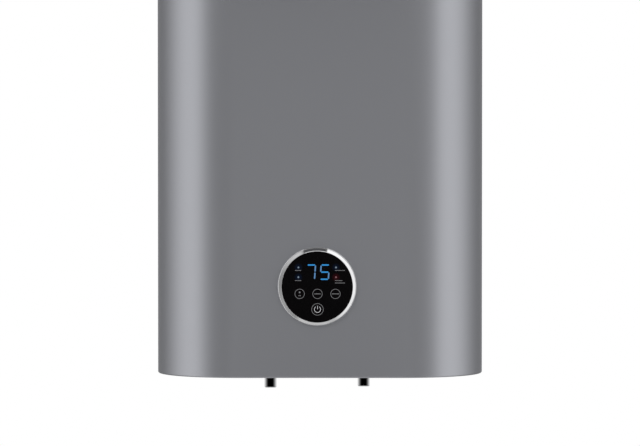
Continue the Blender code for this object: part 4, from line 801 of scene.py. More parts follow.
def board_lacquer():
    """Circuit board: green lacquer over bundles of paler copper tracks.

    Square cells each hold a bundle that runs one way or the other, and some cells are left plain.
    """
    finish = Finish("circuit_board", Specular_IOR_Level=0.6)
    values = {"Vector": finish.place(), "Scale": 120.0, "Randomness": 0.8}
    way, used, _ = finish.split(finish.node("ShaderNodeTexVoronoi", {"distance": "CHEBYCHEV"}, values, 1))
    x, y, _ = finish.split(finish.place(stretched=(640.0, 640.0, 640.0)))
    along, across = (abs(finish.maths("FRACT", axis) - 0.5).step(0.16, 0.22, 1.0, 0.0) for axis in (x, y))
    tracks = along + way.step(0.45, 0.55) * (across - along)
    tracks = tracks * used.step(0.30, 0.36)
    tint = finish.mix(finish.noise(30.0, 3.0), (0.006, 0.105, 0.032), (0.010, 0.150, 0.048))
    finish.paint(Base_Color=finish.mix(tracks * 0.6, tint, (0.035, 0.26, 0.075)))
    finish.paint(Roughness=finish.noise(500.0) * 0.1 + 0.3)
    return finish.relief(tracks + finish.noise(1500.0) * 0.3, 0.00004, 0.6)


def enamel():
    """Vitreous enamel: dark blue glass with pale specks and a slow ripple."""
    finish = Finish("tank_enamel", Coat_Weight=0.4)
    speck = finish.split(finish.cells(1100.0, output=1))[0].step(0.90, 0.97)
    tint = finish.mix(finish.noise(10.0, 3.0), (0.006, 0.014, 0.060), (0.012, 0.028, 0.105))
    finish.paint(Base_Color=finish.mix(speck * 0.5, tint, (0.20, 0.24, 0.34)))
    finish.paint(Roughness=speck * 0.2 + 0.16)
    return finish.relief(finish.noise(45.0, 2.0), 0.0003, 0.4)


def heated_metal(name, colour, tinted, roughness):
    """Bare metal with drawing lines along its height and clouds of a warmer tint."""
    finish = Finish(name, Metallic=1.0)
    lines = finish.noise(700.0, 3.0, finish.place(stretched=(1.0, 1.0, 0.15)))
    finish.paint(Base_Color=finish.mix(finish.noise(38.0, 4.0) * 0.8 + lines * 0.2, colour, tinted))
    finish.paint(Roughness=lines * 0.2 + (roughness - 0.1))
    return finish.relief(lines, 0.00004, 0.5)


def cast_metal():
    """Cast magnesium: dull and grainy, with darker blooms."""
    finish = Finish("anode_metal", Metallic=0.85)
    bloom = finish.noise(22.0, 5.0, roughness=0.6)
    finish.paint(Base_Color=finish.mix(bloom, (0.30, 0.30, 0.30), (0.52, 0.52, 0.51)))
    finish.paint(Roughness=bloom * 0.2 + 0.5)
    return finish.relief(finish.cells(850.0) + bloom, 0.0002, 0.6)


def rubber():
    """Seal rubber: matt black, with a faint talc bloom."""
    finish = Finish("seal_rubber", Specular_IOR_Level=0.3)
    talc = finish.noise(60.0, 5.0, roughness=0.65)
    finish.paint(Base_Color=finish.mix(talc, (0.007, 0.007, 0.007), (0.028, 0.028, 0.027)))
    finish.paint(Roughness=talc * 0.2 + 0.62)
    return finish.relief(finish.noise(1200.0, 2.0), 0.00008, 0.7)


def dark_glass():
    """Black backed glass, with a faint glow round each lamp behind it.

    A glow falls off with the square of the distance from its lamp.
    """
    finish = Finish("black_glass", Emission_Strength=1.0)
    x, _, z = finish.split(finish.place(moved=(-PANEL_X, 0.0, -PANEL_Z)))
    smudge = finish.noise(40.0, 3.0)
    finish.paint(Base_Color=finish.mix(smudge, (0.0023, 0.0021, 0.0023), (0.0031, 0.0028, 0.0031)))
    finish.paint(Roughness=smudge * 0.03 + 0.03)
    glows = []
    for side in (-1, 1):
        for level in LAMP_LEVELS:
            across, up = x - side * LAMP_X, z - level
            glows.append((across * across + up * up).step(0.0, LAMP_GLOW**2, 1.0, 0.0))
    red = glows.pop()
    blue = glows[0] + glows[1] + glows[2]
    light = finish.mix(blue, BLACK, (0.0006, 0.0038, 0.012))
    return finish.paint(Emission_Color=finish.mix(red, light, (0.018, 0.0005, 0.0014)))


def lit(name, colour, spread=0.0):
    """A lit mark, or a printed mark that glows with painted light. Its brightness wavers a little along its
    strokes.
    """
    finish = Finish(name, Roughness=0.35, Specular_IOR_Level=0.3, Emission_Strength=1.0)
    waver = finish.noise(900.0, 1.0)
    pale = tuple(share + spread * (1 - share) for share in colour)
    finish.paint(Emission_Color=finish.mix(waver, colour, pale))
    return finish.paint(Base_Color=finish.mix(waver, faded(colour, 0.4), (0.02, 0.02, 0.02)))


def make_casing():
    """The sheet wrapper, its lower edge rolled under, with a round hole for the control panel."""
    x = np.linspace(PANEL_X - PANEL_BLOCK, PANEL_X + PANEL_BLOCK, PANEL_STEPS + 1)
    middle = PANEL_Z - CASING_Z
    z = np.linspace(middle - PANEL_BLOCK, middle + PANEL_BLOCK, PANEL_STEPS + 1)
    rim = eased([(RIM_LIP_RADIUS, 0), (CASING_RADIUS, 0), (CASING_RADIUS, z[0])], [0, RIM_RADIUS, 0], 8)
    beside = np.stack([np.full(len(z), CASING_RADIUS), z], -1)
    top = np.array([(CASING_RADIUS, level) for level in np.linspace(z[-1], SHELL_TOP, 6)])
    right = np.array([x[-1], HALF_FLAT])
    left = np.array([-HALF_FLAT, x[0]])
    rest = [np.concatenate(pair) for pair in zip(oval_columns(right), (left, np.zeros(2), -np.ones(2)))]
    front = (x, np.zeros(len(x)), -np.ones(len(x)))
    shape = Shape()
    shape.patch(on_casing(oval_wall(np.concatenate([rim, beside, top]), rest)))
    shape.patch(on_casing(oval_wall(rim, front)))
    shape.patch(on_casing(oval_wall(top, front)))
    square = square_edge(x, z)
    hole = hole_patch(square, round_edge(square, (PANEL_X, middle), PANEL_HOLE_RADIUS))
    shape.patch(on_casing(upright(hole, -CASING_RADIUS)), around=True)
    shape.piece("casing_skin", "silver_paint", "casing_shell", thickness=CASING_SHEET)


def make_top_cap():
    """The top cover: a rounded edge and a slight crown, which falls with the square of the radius."""
    inner, shoulder = CASING_RADIUS - CAP_EDGE_RADIUS, CASING_TOP - CAP_CROWN
    corners = [(CASING_RADIUS, CAP_SEAT), (CASING_RADIUS, shoulder), (inner, shoulder)]
    steps = 10
    edge = eased(corners, [0, CAP_EDGE_RADIUS, 0], steps)[:-steps]
    share = np.linspace(1.0, 0.0, 12)[1:]
    crown = np.stack([inner * share, CASING_TOP - CAP_CROWN * share**2], -1)
    shape = Shape()
    shape.patch(on_casing(oval_wall(np.concatenate([edge, crown]), plain_oval())), around=True)
    shape.piece("top_cover", "silver_plastic", "top_cap", thickness=CAP_WALL)


def make_bezel():
    """The metal ring round the glass: a band that falls inwards to the glass, and a round outer edge.

    At its mouth is a narrow strip that falls less than the band. Each point is raised by the ring's
    rise times (radius - mouth) / (outer radius - mouth), so the ring is a little wider above the
    glass than below it.
    """

    def raised(points):
        points = np.array(points, float)
        share = (np.hypot(points[..., 0], points[..., 1]) - BEZEL_MOUTH) / (BEZEL_RADIUS - BEZEL_MOUTH)
        points[..., 1] += BEZEL_RISE * np.clip(share, 0.0, 1.0)
        return on_panel(points)

    lip = GLASS_FACE + BEZEL_LIP
    corners = [
        (BEZEL_SKIRT, GLASS_BASE), (BEZEL_SKIRT, BEZEL_BASE), (BEZEL_RADIUS, BEZEL_BASE),
        (BEZEL_RADIUS, BEZEL_CROWN), (BEZEL_RADIUS - BEZEL_EDGE - BEZEL_SHOULDER, BEZEL_CROWN),
        (BEZEL_MOUTH + BEZEL_STRIP, lip + BEZEL_STRIP_FALL), (BEZEL_MOUTH, lip),
        (BEZEL_MOUTH, GLASS_BASE),
    ]
    radii = [0.0003, 0.0003, 0.0003, BEZEL_EDGE, 0.002, 0.002, 0.0003, 0.0002]
    shape = Shape().turned(eased(corners, radii, 8, closed=True), BEZEL_SEGMENTS, raised, closed=True)
    return shape.piece("bezel_ring", "bezel_chrome", "control_bezel")


def make_glass():
    """The round glass, its edges just broken."""
    shape = Shape().turned(disc(GLASS_RADIUS, GLASS_BASE, GLASS_FACE, GLASS_EDGE), BEZEL_SEGMENTS, on_panel)
    shape.piece("panel_glass", "black_glass", "control_glass")


def digit_bars(digit):
    """The outlines of a seven-bar digit's lit bars, about its centre, as one array.

    Each bar has pointed ends, starts a little short of its corner, and leans with its height.
    """
    wide, high = (DIGIT_WIDTH - DIGIT_STROKE) / 2, (DIGIT_HEIGHT - DIGIT_STROKE) / 2
    ends = {
        "top": ((-wide, high), (wide, high)),
        "middle": ((-wide, 0), (wide, 0)),
        "bottom": ((-wide, -high), (wide, -high)),
        "upper_left": ((-wide, 0), (-wide, high)),
        "upper_right": ((wide, 0), (wide, high)),
        "lower_right": ((wide, -high), (wide, 0)),
    }
    lit_bars = {
        7: ("top", "upper_right", "lower_right"),
        5: ("top", "upper_left", "middle", "lower_right", "bottom"),
    }
    first, last = np.moveaxis(np.array([ends[bar] for bar in lit_bars[digit]], float), 1, 0)
    along = (last - first) / np.linalg.norm(last - first, axis=1, keepdims=True)
    across = np.stack([-along[:, 1], along[:, 0]], -1) * DIGIT_STROKE / 2
    shoulder = along * DIGIT_STROKE / 2
    first, last = first + along * DIGIT_SPLIT, last - along * DIGIT_SPLIT
    below = [first, first + shoulder - across, last - shoulder - across]
    outline = np.stack([*below, last, last - shoulder + across, first + shoulder + across], axis=1)
    outline[..., 0] += DIGIT_SLANT * outline[..., 1]
    return outline


def make_digits():
    """The lit number, two seven-bar digits, whose upright bars are paler than the flat ones."""
    shape = Shape()
    for digit, side in ((7, -0.5), (5, 0.5)):
        spot = panel_spot((DISPLAY_PLACE[0] + side * DIGIT_PITCH, DISPLAY_PLACE[1]))
        for outline in digit_bars(digit):
            stands = np.ptp(outline[:, 1]) > np.ptp(outline[:, 0])
            shape.mark(outline, LIT_EDGE, spot, paint=int(stands))
    shape.piece("lit_digits", "black_glass", finishes=("lit_blue", "lit_pale_blue"))


def make_lamps():
    """The four indicator lamps: three pale blue, one red."""
    high, low = LAMP_LEVELS
    for name, finish, places in (
        ("blue_lamps", "lamp_blue", [(-LAMP_X, high), (-LAMP_X, low), (LAMP_X, high)]),
        ("red_lamp", "lamp_red", [(LAMP_X, low)]),
    ):
        shape = Shape()
        for place in places:
            shape.turned(disc(LAMP_RADIUS, MARK_BASE, MARK_TOP, LIT_EDGE), 24, panel_spot(place))
        shape.piece(name, "black_glass", finishes=(finish,))


def bar_outline(left, right, level, height):
    """A straight printed bar between two places across the panel."""
    low, high = level - height / 2, level + height / 2
    return np.array([(left, low), (right, low), (right, high), (left, high)])


def print_dashes(shape, start, count, level, height):
    """A row of printed dashes, from its left end."""
    for left in start + DASH_PITCH * np.arange(count):
        shape.mark(bar_outline(left, left + DASH_LENGTH, level, height), PRINT_EDGE, on_panel)


def make_key_rings():
    """The printed rings of the four touch keys, which glow with painted light."""
    shape = Shape()
    for radius, places in ((KEY_RADIUS, KEY_PLACES), (POWER_KEY_RADIUS, (POWER_PLACE,))):
        inner = radius - KEY_LINE
        ring = [(inner, MARK_BASE), (radius, MARK_BASE), (radius, MARK_TOP), (inner, MARK_TOP)]
        for place in places:
            shape.turned(ring, 72, panel_spot(place), closed=True)
    shape.piece("key_rings", "black_glass", finishes=("print_grey",))


def make_printed_bars():
    """The captions and the signs in the keys, as plain dashes, and a dot in the first key, all printed and
    glowing with painted light.
    """
    shape = Shape()
    for start, count, level in CAPTIONS:
        print_dashes(shape, start, count, level, CAPTION_HEIGHT)
    margin = (DASH_PITCH - DASH_LENGTH) / 2
    for (x, y), count in zip(KEY_PLACES, KEY_MARKS):
        level = y - KEY_MARK_FALL if count < 3 else y
        print_dashes(shape, x - DASH_PITCH / 2 * count + margin, count, level, KEY_MARK_HEIGHT)
    x, y = KEY_PLACES[0]
    dot = disc(KEY_DOT_RADIUS, MARK_BASE, MARK_TOP, PRINT_EDGE)
    shape.turned(dot, 20, panel_spot((x, y + KEY_DOT_RISE)))
    shape.piece("printed_bars", "black_glass", finishes=("print_grey",))


def make_power_sign():
    """The printed power sign, which glows with painted light: an open ring, and a bar in its opening."""
    shape = Shape()
    turn = np.linspace(math.pi / 2 + POWER_OPENING / 2, TURN + math.pi / 2 - POWER_OPENING / 2, 49)
    radius = POWER_RADIUS - POWER_LINE / 2
    level = np.full(len(turn), (MARK_BASE + MARK_TOP) / 2)
    path = np.stack([radius * np.cos(turn), radius * np.sin(turn), level], -1)
    half, deep = POWER_LINE / 2, (MARK_TOP - MARK_BASE) / 2
    section = np.array([(-deep, -half), (deep, -half), (deep, half), (-deep, half)])
    shape.carried(panel_spot(POWER_PLACE)(path), section, (0.0, -1.0, 0.0))
    bar = bar_outline(-half, half, POWER_RADIUS / 2 + half, POWER_RADIUS)
    shape.mark(bar, PRINT_EDGE, panel_spot(POWER_PLACE))
    shape.piece("power_sign", "black_glass", finishes=("print_white",))


def make_pipes():
    """The two polished water pipes. Their open ends are chamfered, inside and out."""
    for node in ("hot_outlet_pipe", "cold_inlet_pipe"):
        low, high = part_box(node)
        spot = casing_spot((low.x + high.x) / 2, 0.0)
        bottom, top = low.z - CASING_Z, high.z - CASING_Z
        corners = [
            (PIPE_BORE, bottom + PIPE_CHAMFER / 2), (PIPE_BORE + PIPE_CHAMFER / 2, bottom),
            (PIPE_RADIUS - PIPE_CHAMFER, bottom), (PIPE_RADIUS, bottom + PIPE_CHAMFER),
            (PIPE_RADIUS, top), (PIPE_BORE, top),
        ]
        shape = Shape().turned(eased(corners, 0.0003, 3, closed=True), PIPE_SEGMENTS, spot, closed=True)
        shape.piece(f"polished_{node}", "pipe_chrome", node)


def make_tray():
    """The upturned tray that closes the underside, with a long opening for the service space."""
    inner, top = SKIRT_RADIUS - CAP_SHEET, CAP_LEVEL + CAP_SHEET
    corners = [
        (OPENING_RADIUS, CAP_LEVEL), (inner, CAP_LEVEL), (inner, SKIRT_BOTTOM),
        (SKIRT_RADIUS, SKIRT_BOTTOM), (SKIRT_RADIUS, CAP_LEVEL), (CAP_RADIUS, CAP_LEVEL),
        (CAP_RADIUS, top), (OPENING_RADIUS, top),
    ]
    radii = [0.0004, 0.0012, 0.0004, 0.0004, 0.0006, 0.0004, 0.0004, 0.0004]
    profile = looped(eased(corners, radii, 4, closed=True))
    shape = Shape().patch(on_casing(oval_wall(profile, plain_oval())), around=True)
    shape.piece("underside_tray", "grey_plastic", "bottom_cap")


def make_cover():
    """The service cover: a shallow dish with a flange, and a round hole for each water pipe.

    Its floor is an oval ring of rows, a strip of grid lines with two holes in it, and a fan of
    rows at each end of the strip.
    """
    half = COVER_BLOCK
    steps = np.linspace(-half, half, 9)
    hot, cold = PIPE_PLACES
    x = np.concatenate([[-HALF_FLAT], hot + steps, cold + steps, [HALF_FLAT], [-0.03, 0.02]])
    x = np.unique(np.round(x, 6))
    corners = [(half, COVER_FLOOR), (DISH_RADIUS, COVER_FLOOR)]
    corners += [(DISH_RADIUS, COVER_FLANGE_LEVEL), (COVER_RADIUS, COVER_FLANGE_LEVEL)]
    profile = eased(corners, [0, COVER_EDGE, 0.001, 0], 6)
    shape = Shape().patch(on_casing(oval_wall(profile, oval_columns(x, x, 24))), around=True)

    def lay(flat):
        return on_casing(level_sheet(flat, COVER_FLOOR))

    for centre in (hot, cold):
        square = square_edge(centre + steps, steps)
        hole = hole_patch(square, round_edge(square, (centre, 0.0), RING_COLLAR + GAP))
        shape.patch(lay(hole)[:, ::-1], around=True)
    for left, right in ((-HALF_FLAT, hot - half), (hot + half, cold - half), (cold + half, HALF_FLAT)):
        across = x[(x > left - WELD) & (x < right + WELD)]
        shape.patch(lay(np.stack(np.meshgrid(across, steps[::-1]), -1)))
    radius = steps[4:, None]
    for side, start in ((1, -math.pi / 2), (-1, math.pi / 2)):
        turn = start + np.linspace(0.0, math.pi, 25)
        shape.patch(lay(np.stack([side * HALF_FLAT + radius * np.cos(turn), radius * np.sin(turn)], -1)))
    shape.piece("service_dish", "grey_plastic", "service_cover", body="cover_assembly", thickness=COVER_SHEET)


def cross_head(radius, height, segments=48):
    """A screw's head, from its seat up over its edge to its middle, with a cross sunk in its top.

    The top is a dome, height (1 - 0.35 share squared). The cross is two bars of a smooth trench,
    each as deep as 0.6 of the height, that end at 0.62 of the radius.
    """
    turn = np.arange(segments) * TURN / segments
    share = np.linspace(0.94, 0.0, 22)[:, None]
    x, y = share * np.cos(turn), share * np.sin(turn)
    bar = 1 - np.clip((np.minimum(np.abs(x), np.abs(y)) - 0.09) / 0.08, 0, 1)
    reach = 1 - np.clip((np.maximum(np.abs(x), np.abs(y)) - 0.55) / 0.12, 0, 1)
    top = height * (1 - 0.35 * share**2) - 0.6 * height * bar * reach
    side = np.array([(1.0, 0.0), (1.0, 0.45 * height), (0.985, 0.58 * height), (0.97, 0.64 * height)])
    rim = np.stack([side[:, :1] * np.cos(turn), side[:, :1] * np.sin(turn), side[:, 1:] + 0 * turn], -1)
    grid = np.concatenate([rim, np.stack([x, y, top], -1)])
    return grid * (radius, radius, 1.0)


def make_cover_screws():
    """Four pan-head screws that hold the service cover."""
    reach = (DISH_RADIUS + COVER_RADIUS) / 2
    places = [(x, y) for x in (-SCREW_X, SCREW_X) for y in (-reach, reach)]
    levels = -np.arange(0.0, 0.0105, 0.0007) - 0.0003
    crests = thread(0.0016, 0.0019, levels, -0.00035)[::-1]
    shank = np.concatenate([[(0.0, -0.012), (0.0012, -0.012)], crests, [(0.0016, 0.0), (0.0037, 0.0)]])
    for index, (x, y) in enumerate(places):
        spot = underside_spot(x, y, COVER_FLANGE_LEVEL - GAP)
        shape = Shape().patch(spot(cross_head(0.0037, 0.0024)), around=True).turned(shank, 48, spot)
        name, node = f"cross_head_{index + 1}", f"cover_screw_{index + 1}"
        shape.piece(name, "zinc_steel", node, body="cover_assembly")


def make_pipe_rings():
    """The coloured rings that mark the hot and the cold pipe, clipped in the service cover."""
    bottom, shoulder, top, flange = 0.0009, 0.0027, 0.0048, RING_COLLAR + RING_FLANGE
    corners = [(RING_BORE, bottom), (flange, bottom), (flange, shoulder)]
    corners += [(RING_COLLAR, shoulder), (RING_COLLAR, top), (RING_BORE, top)]
    profile = eased(corners, [0.0006, 0.0012, 0.0003, 0.0002, 0.0003, 0.0003], 4, closed=True)
    for x, node, slot in zip(PIPE_PLACES, ("hot_ring", "cold_ring"), ("red_plastic", "blue_plastic")):
        shape = Shape().turned(profile, 72, casing_spot(x, 0.0), closed=True)
        shape.piece(f"marked_{node}", slot, node, body="cover_assembly")


def make_gland():
    """The cable gland: a domed clamping nut with flats, a hexagon under the tray, and its nut above."""
    spot = casing_spot(*GLAND_PLACE)
    corner = GLAND_FLATS / math.sqrt(3)
    rows = [
        (0.0045, 0.0045, 0), (0.0052, 0.0030, 0), (0.0062, 0.0027, 0), (0.0074, 0.0032, 0),
        (0.0086, 0.0046, 0), (0.0093, 0.0062, 0), (0.0096, 0.0064, 0), (0.0101, 0.0070, 1),
        (0.0101, 0.0089, 1), (0.0096, 0.0094, 0), (0.0090, 0.0096, 0), (0.0112, 0.0098, 0),
        (corner, 0.0104, 1), (corner, 0.0157, 1), (0.0080, 0.0157, 0),
    ]
    crests = np.pad(thread(0.0074, 0.0080, np.arange(0.0162, 0.0272, 0.0015), 0.00075), ((0, 0), (0, 1)))
    rows = np.concatenate([rows, crests, [(0.0074, 0.0277, 0), (0.0045, 0.0277, 0)]])
    Shape().turned(rows, 72, spot, closed=True).piece("gland_body", "dark_plastic", "cable_gland")
    nut = [
        (0.0083, 0.0178, 0), (0.0110, 0.0178, 0), (corner, 0.0184, 1), (corner, 0.0222, 1),
        (0.0110, 0.0228, 0), (0.0083, 0.0228, 0),
    ]
    Shape().turned(nut, 72, spot, closed=True).piece("gland_locknut", "dark_plastic", "gland_nut")


def make_bracket(name, node, level):
    """A wall bracket: one sheet strip with cranked ends, rounded corners and two upright slots.

    Its back face is a path across (x, y) times a height, and the sheet's thickness goes forwards.
    """
    half = BRACKET_HEIGHT / 2
    steps = np.linspace(-0.016, 0.016, 9)
    rise = np.linspace(-half, half, 9)
    bends = [(-BRACKET_END, BRACKET_SEAT), (-0.115, BRACKET_SEAT)]
    bends += [(-0.100, BRACKET_FACE), (0.0, BRACKET_FACE)]
    path = eased(bends, [0, 0.005, 0.005, 0], 5)
    path = path[(path[:, 0] > -BRACKET_END) & (path[:, 0] < -0.0999)]
    turn = np.linspace(0.0, math.pi / 2, 7)
    ends = np.stack([-BRACKET_END + BRACKET_CORNER * (1 - np.cos(turn)), np.full(7, BRACKET_SEAT)], -1)
    run = np.concatenate([ends, path, [(-0.085, BRACKET_FACE), (SLOT_PLACES[0] + steps[0], BRACKET_FACE)]])
    height = np.full(len(run), half)
    height[:7] -= BRACKET_CORNER * (1 - np.sin(turn))
    middle = np.array([(SLOT_PLACES[0] + steps[-1], BRACKET_FACE), (0.0, BRACKET_FACE)])
    middle = np.concatenate([middle, middle[:1] * (-1, 1)])
    shape = Shape()
    for points, heights in ((run, height), (run[::-1] * (-1, 1), height[::-1]), (middle, np.full(3, half))):
        share = (rise / half)[:, None]
        x, y = (points[::-1, axis] + 0 * share for axis in (0, 1))
        shape.patch(on_casing(np.stack([x, y, level + share * heights[::-1]], -1)))
    for centre in SLOT_PLACES:
        square = square_edge(centre + steps, level + rise)
        hole = hole_patch(square, slot_edge(square, np.array([centre, level]), 0.0055, 0.0075))
        shape.patch(on_casing(upright(hole, BRACKET_FACE))[:, ::-1], around=True)
    shape.piece(name, "zinc_steel", node, thickness=0.0025)


def make_bracket_bolts():
    """The four hexagon bolts that hold the brackets, their heads chamfered."""
    corner = BOLT_FLATS / math.sqrt(3)
    head = [
        (0.0, -0.012, 0), (0.0040, -0.012, 0), (0.0040, 0.0, 0), (corner, 0.0, 1), (corner, 0.0043, 1),
        (corner * 0.90, 0.0051, 0.15), (corner * 0.84, 0.0053, 0), (corner * 0.60, 0.0053, 0),
        (corner * 0.55, 0.0050, 0), (0.0, 0.0050, 0),
    ]
    places = [(x, z) for z in BRACKET_LEVELS for x in (-HALF_FLAT, HALF_FLAT)]
    for index, (x, z) in enumerate(places):
        shape = Shape().turned(head, 72, rear_spot(x, BOLT_SEAT, z))
        shape.piece(f"hexagon_{index + 1}", "zinc_steel", f"bracket_bolt_{index + 1}")


def hexagon_head(flats, height, shank, length):
    """A hexagon bolt's profile, head up, with a chamfer and a dished top."""
    corner = flats / math.sqrt(3)
    return [
        (0.0, -length, 0), (shank, -length, 0), (shank, 0.0, 0), (corner, 0.0, 1),
        (corner, 0.80 * height, 1), (corner * 0.90, 0.96 * height, 0.15), (corner * 0.84, height, 0),
        (corner * 0.60, height, 0), (corner * 0.55, 0.94 * height, 0), (0.0, 0.94 * height, 0),
    ]


def make_flanges():
    """What closes each tank: a plate on four bolts, its seal, the heater, the anode and the pocket."""
    corners = [(0.0, PLATE_BOTTOM), (0.037, PLATE_BOTTOM), (0.037, PLATE_TOP), (0.0, PLATE_TOP)]
    plate = eased(corners, [0, 0.0012, 0.0005, 0], 4)
    washer = [(0.0, -0.0001), (0.0049, -0.0001), (0.0049, 0.0006), (0.0046, 0.0008), (0.0, 0.0008)]
    braze = [(0.0, -0.0001), (0.0060, -0.0001), (0.0052, 0.0004), (0.0044, 0.0012), (0.0, 0.0012)]
    seal = [(0.0250, 0.0712), (0.0287, 0.0712), (0.0287, 0.0732)]
    seal += [(0.0267, 0.0732), (0.0267, 0.0772), (0.0250, 0.0772)]
    seal = eased(seal, 0.0003, 3, closed=True)
    for name, side in (("cold", 1), ("hot", -1)):
        axis = side * HALF_FLAT
        shape = Shape().turned(plate, 72, casing_spot(axis, 0.0))
        for turn in np.arange(4) * TURN / 4 + TURN / 8:
            x, y = axis + 0.032 * math.cos(turn), 0.032 * math.sin(turn)
            spot = underside_spot(x, y, PLATE_BOTTOM)
            shape.turned(washer, 36, spot).turned(hexagon_head(0.008, 0.0035, 0.0025, 0.012), 48, spot)
        for y in (-LEG_OFFSET, LEG_OFFSET):
            shape.turned(braze, 36, underside_spot(axis, y, PLATE_BOTTOM))
        shape.piece(f"{name}_bolted_plate", "zinc_steel", f"{name}_flange_plate")
        shape = Shape().turned(seal, 72, casing_spot(axis, 0.0), closed=True)
        shape.piece(f"{name}_seal", "seal_rubber", f"{name}_flange_gasket")
        make_element(name, axis)
        make_anode(name, axis + side * ROD_OFFSET)
        make_pocket(name, axis - side * ROD_OFFSET)


def make_anode(name, x):
    """A magnesium rod, screwed in the plate by a stub with a hexagon head."""
    head, foot, tip = PLATE_BOTTOM - GAP, PLATE_TOP + 0.008, PLATE_TOP + 0.2580
    rod = [
        (0.0, head - 0.0036, 0), (0.0036, head - 0.0036, 0), (0.0040, head - 0.0040, 0),
        (0.0054, head - 0.0040, 0), (0.0065, head - 0.0034, 1), (0.0065, head, 1), (0.0040, head, 0),
        (0.0040, foot, 0), (0.0084, foot, 0), (0.0090, foot + 0.0008, 0), (0.0090, tip - 0.0020, 0),
        (0.0078, tip, 0), (0.0, tip, 0),
    ]
    shape = Shape().turned(rod, 48, casing_spot(x, 0.0))
    shape.piece(f"{name}_anode_rod", "anode_metal", f"{name}_anode")


def make_pocket(name, x):
    """A sensor pocket: a tube closed at its top, open below in a hexagon head."""
    head, top = PLATE_BOTTOM - GAP, PLATE_TOP + 0.220
    pocket = [
        (0.0, top - 0.0012, 0), (0.0038, top - 0.0012, 0), (0.0038, head - 0.0036, 0),
        (0.0042, head - 0.0040, 0), (0.0054, head - 0.0040, 0), (0.0065, head - 0.0034, 1),
        (0.0065, head, 1), (0.0050, head, 0), (0.0050, top - 0.0020, 0), (0.0036, top - 0.0004, 0),
        (0.0, top, 0),
    ]
    shape = Shape().turned(pocket, 48, casing_spot(x, 0.0))
    shape.piece(f"{name}_sensor_tube", "copper", f"{name}_sensor_pocket")


def make_element(name, axis):
    """A hairpin heater: a tube up one leg, round the top and down, with a threaded stud at each end."""
    sleeve, tip = PLATE_BOTTOM - 0.006, PLATE_BOTTOM - 0.014
    crown = PLATE_TOP + 0.300 - LEG_OFFSET
    turn = np.linspace(math.pi, 0.0, 25)
    rise = np.linspace(sleeve, crown, 12)[:-1]
    up = np.stack([-LEG_OFFSET + 0 * rise, rise], -1)
    over = np.stack([LEG_OFFSET * np.cos(turn), crown + LEG_OFFSET * np.sin(turn)], -1)
    path = np.concatenate([up, over, up[::-1] * (-1, 1)])
    path = np.pad(path, ((0, 0), (1, 0)))
    shape = Shape().carried(casing_spot(axis, 0.0)(path), round_section(0.004, 32), (1.0, 0.0, 0.0))
    crests = thread(0.0014, 0.0018, np.arange(0.0004, 0.0074, 0.0005), 0.00025)
    stud = np.concatenate([[(0.0, 0.0), (0.0014, 0.0)], crests, [(0.0018, 0.0084), (0.0, 0.0084)]])
    bead = np.array([(0.0, 0.0066), (0.0024, 0.0068), (0.0031, 0.0074), (0.0031, 0.0082), (0.0, 0.0086)])
    for y in (-LEG_OFFSET, LEG_OFFSET):
        for profile in (stud, bead):
            shape.turned(profile + (0.0, tip), 24, casing_spot(axis, y))
    shape.piece(f"{name}_hairpin", "copper", f"{name}_heating_element")


def make_bridge():
    """The bent strip that spans the opening and carries the electrics, with a window for the cable."""
    corners = [
        (-BRIDGE_LEG - 0.014, BRIDGE_FOOT), (-BRIDGE_LEG, BRIDGE_FOOT), (-BRIDGE_LEG, BRIDGE_TOP),
        (BRIDGE_LEG, BRIDGE_TOP), (BRIDGE_LEG, BRIDGE_FOOT), (BRIDGE_LEG + 0.014, BRIDGE_FOOT),
    ]
    path = eased(corners, [0, 0.002, 0.003, 0.003, 0.002, 0], 6)
    across = np.array([BRIDGE_LEFT, -0.020, -0.014, -0.0095, -0.005, -0.0005, 0.004, 0.010, BRIDGE_RIGHT])
    levels = np.array([0.0213, 0.0228, 0.0278, 0.0328, 0.0378, 0.0428, 0.0478, 0.0528, 0.0545])

    def lay(flat):
        return on_casing(upright(flat, -BRIDGE_LEG))

    def window(square):
        return WINDOW_CENTRE + (square - WINDOW_CENTRE) * (0.009 / 0.015, 0.010 / 0.015)

    def swept(rows):
        return on_casing(np.stack(np.broadcast_arrays(across, rows[:, :1], rows[:, 1:]), -1))

    front = path[(path[:, 0] < -BRIDGE_LEG + WELD) & (path[:, 1] < levels[0] + WELD)]
    rest = path[np.flatnonzero(path[:, 1] >= levels[-1] - WELD)[0] :]
    shape = Shape()
    shape.patch(swept(front))
    shape.patch(swept(np.concatenate([[(-BRIDGE_LEG, levels[-1])], rest])))
    shape.pierced(across, levels, [(WINDOW_CENTRE, (0.015, 0.015), window)], lay)
    shape.piece("bent_bridge", "zinc_steel", "electrics_bridge", thickness=BRIDGE_SHEET)


def board_spot(x, y):
    """Coordinates about a spot of the board's underside, with up made down."""
    return underside_spot(x, y, BOARD_TOP - BOARD_SHEET)


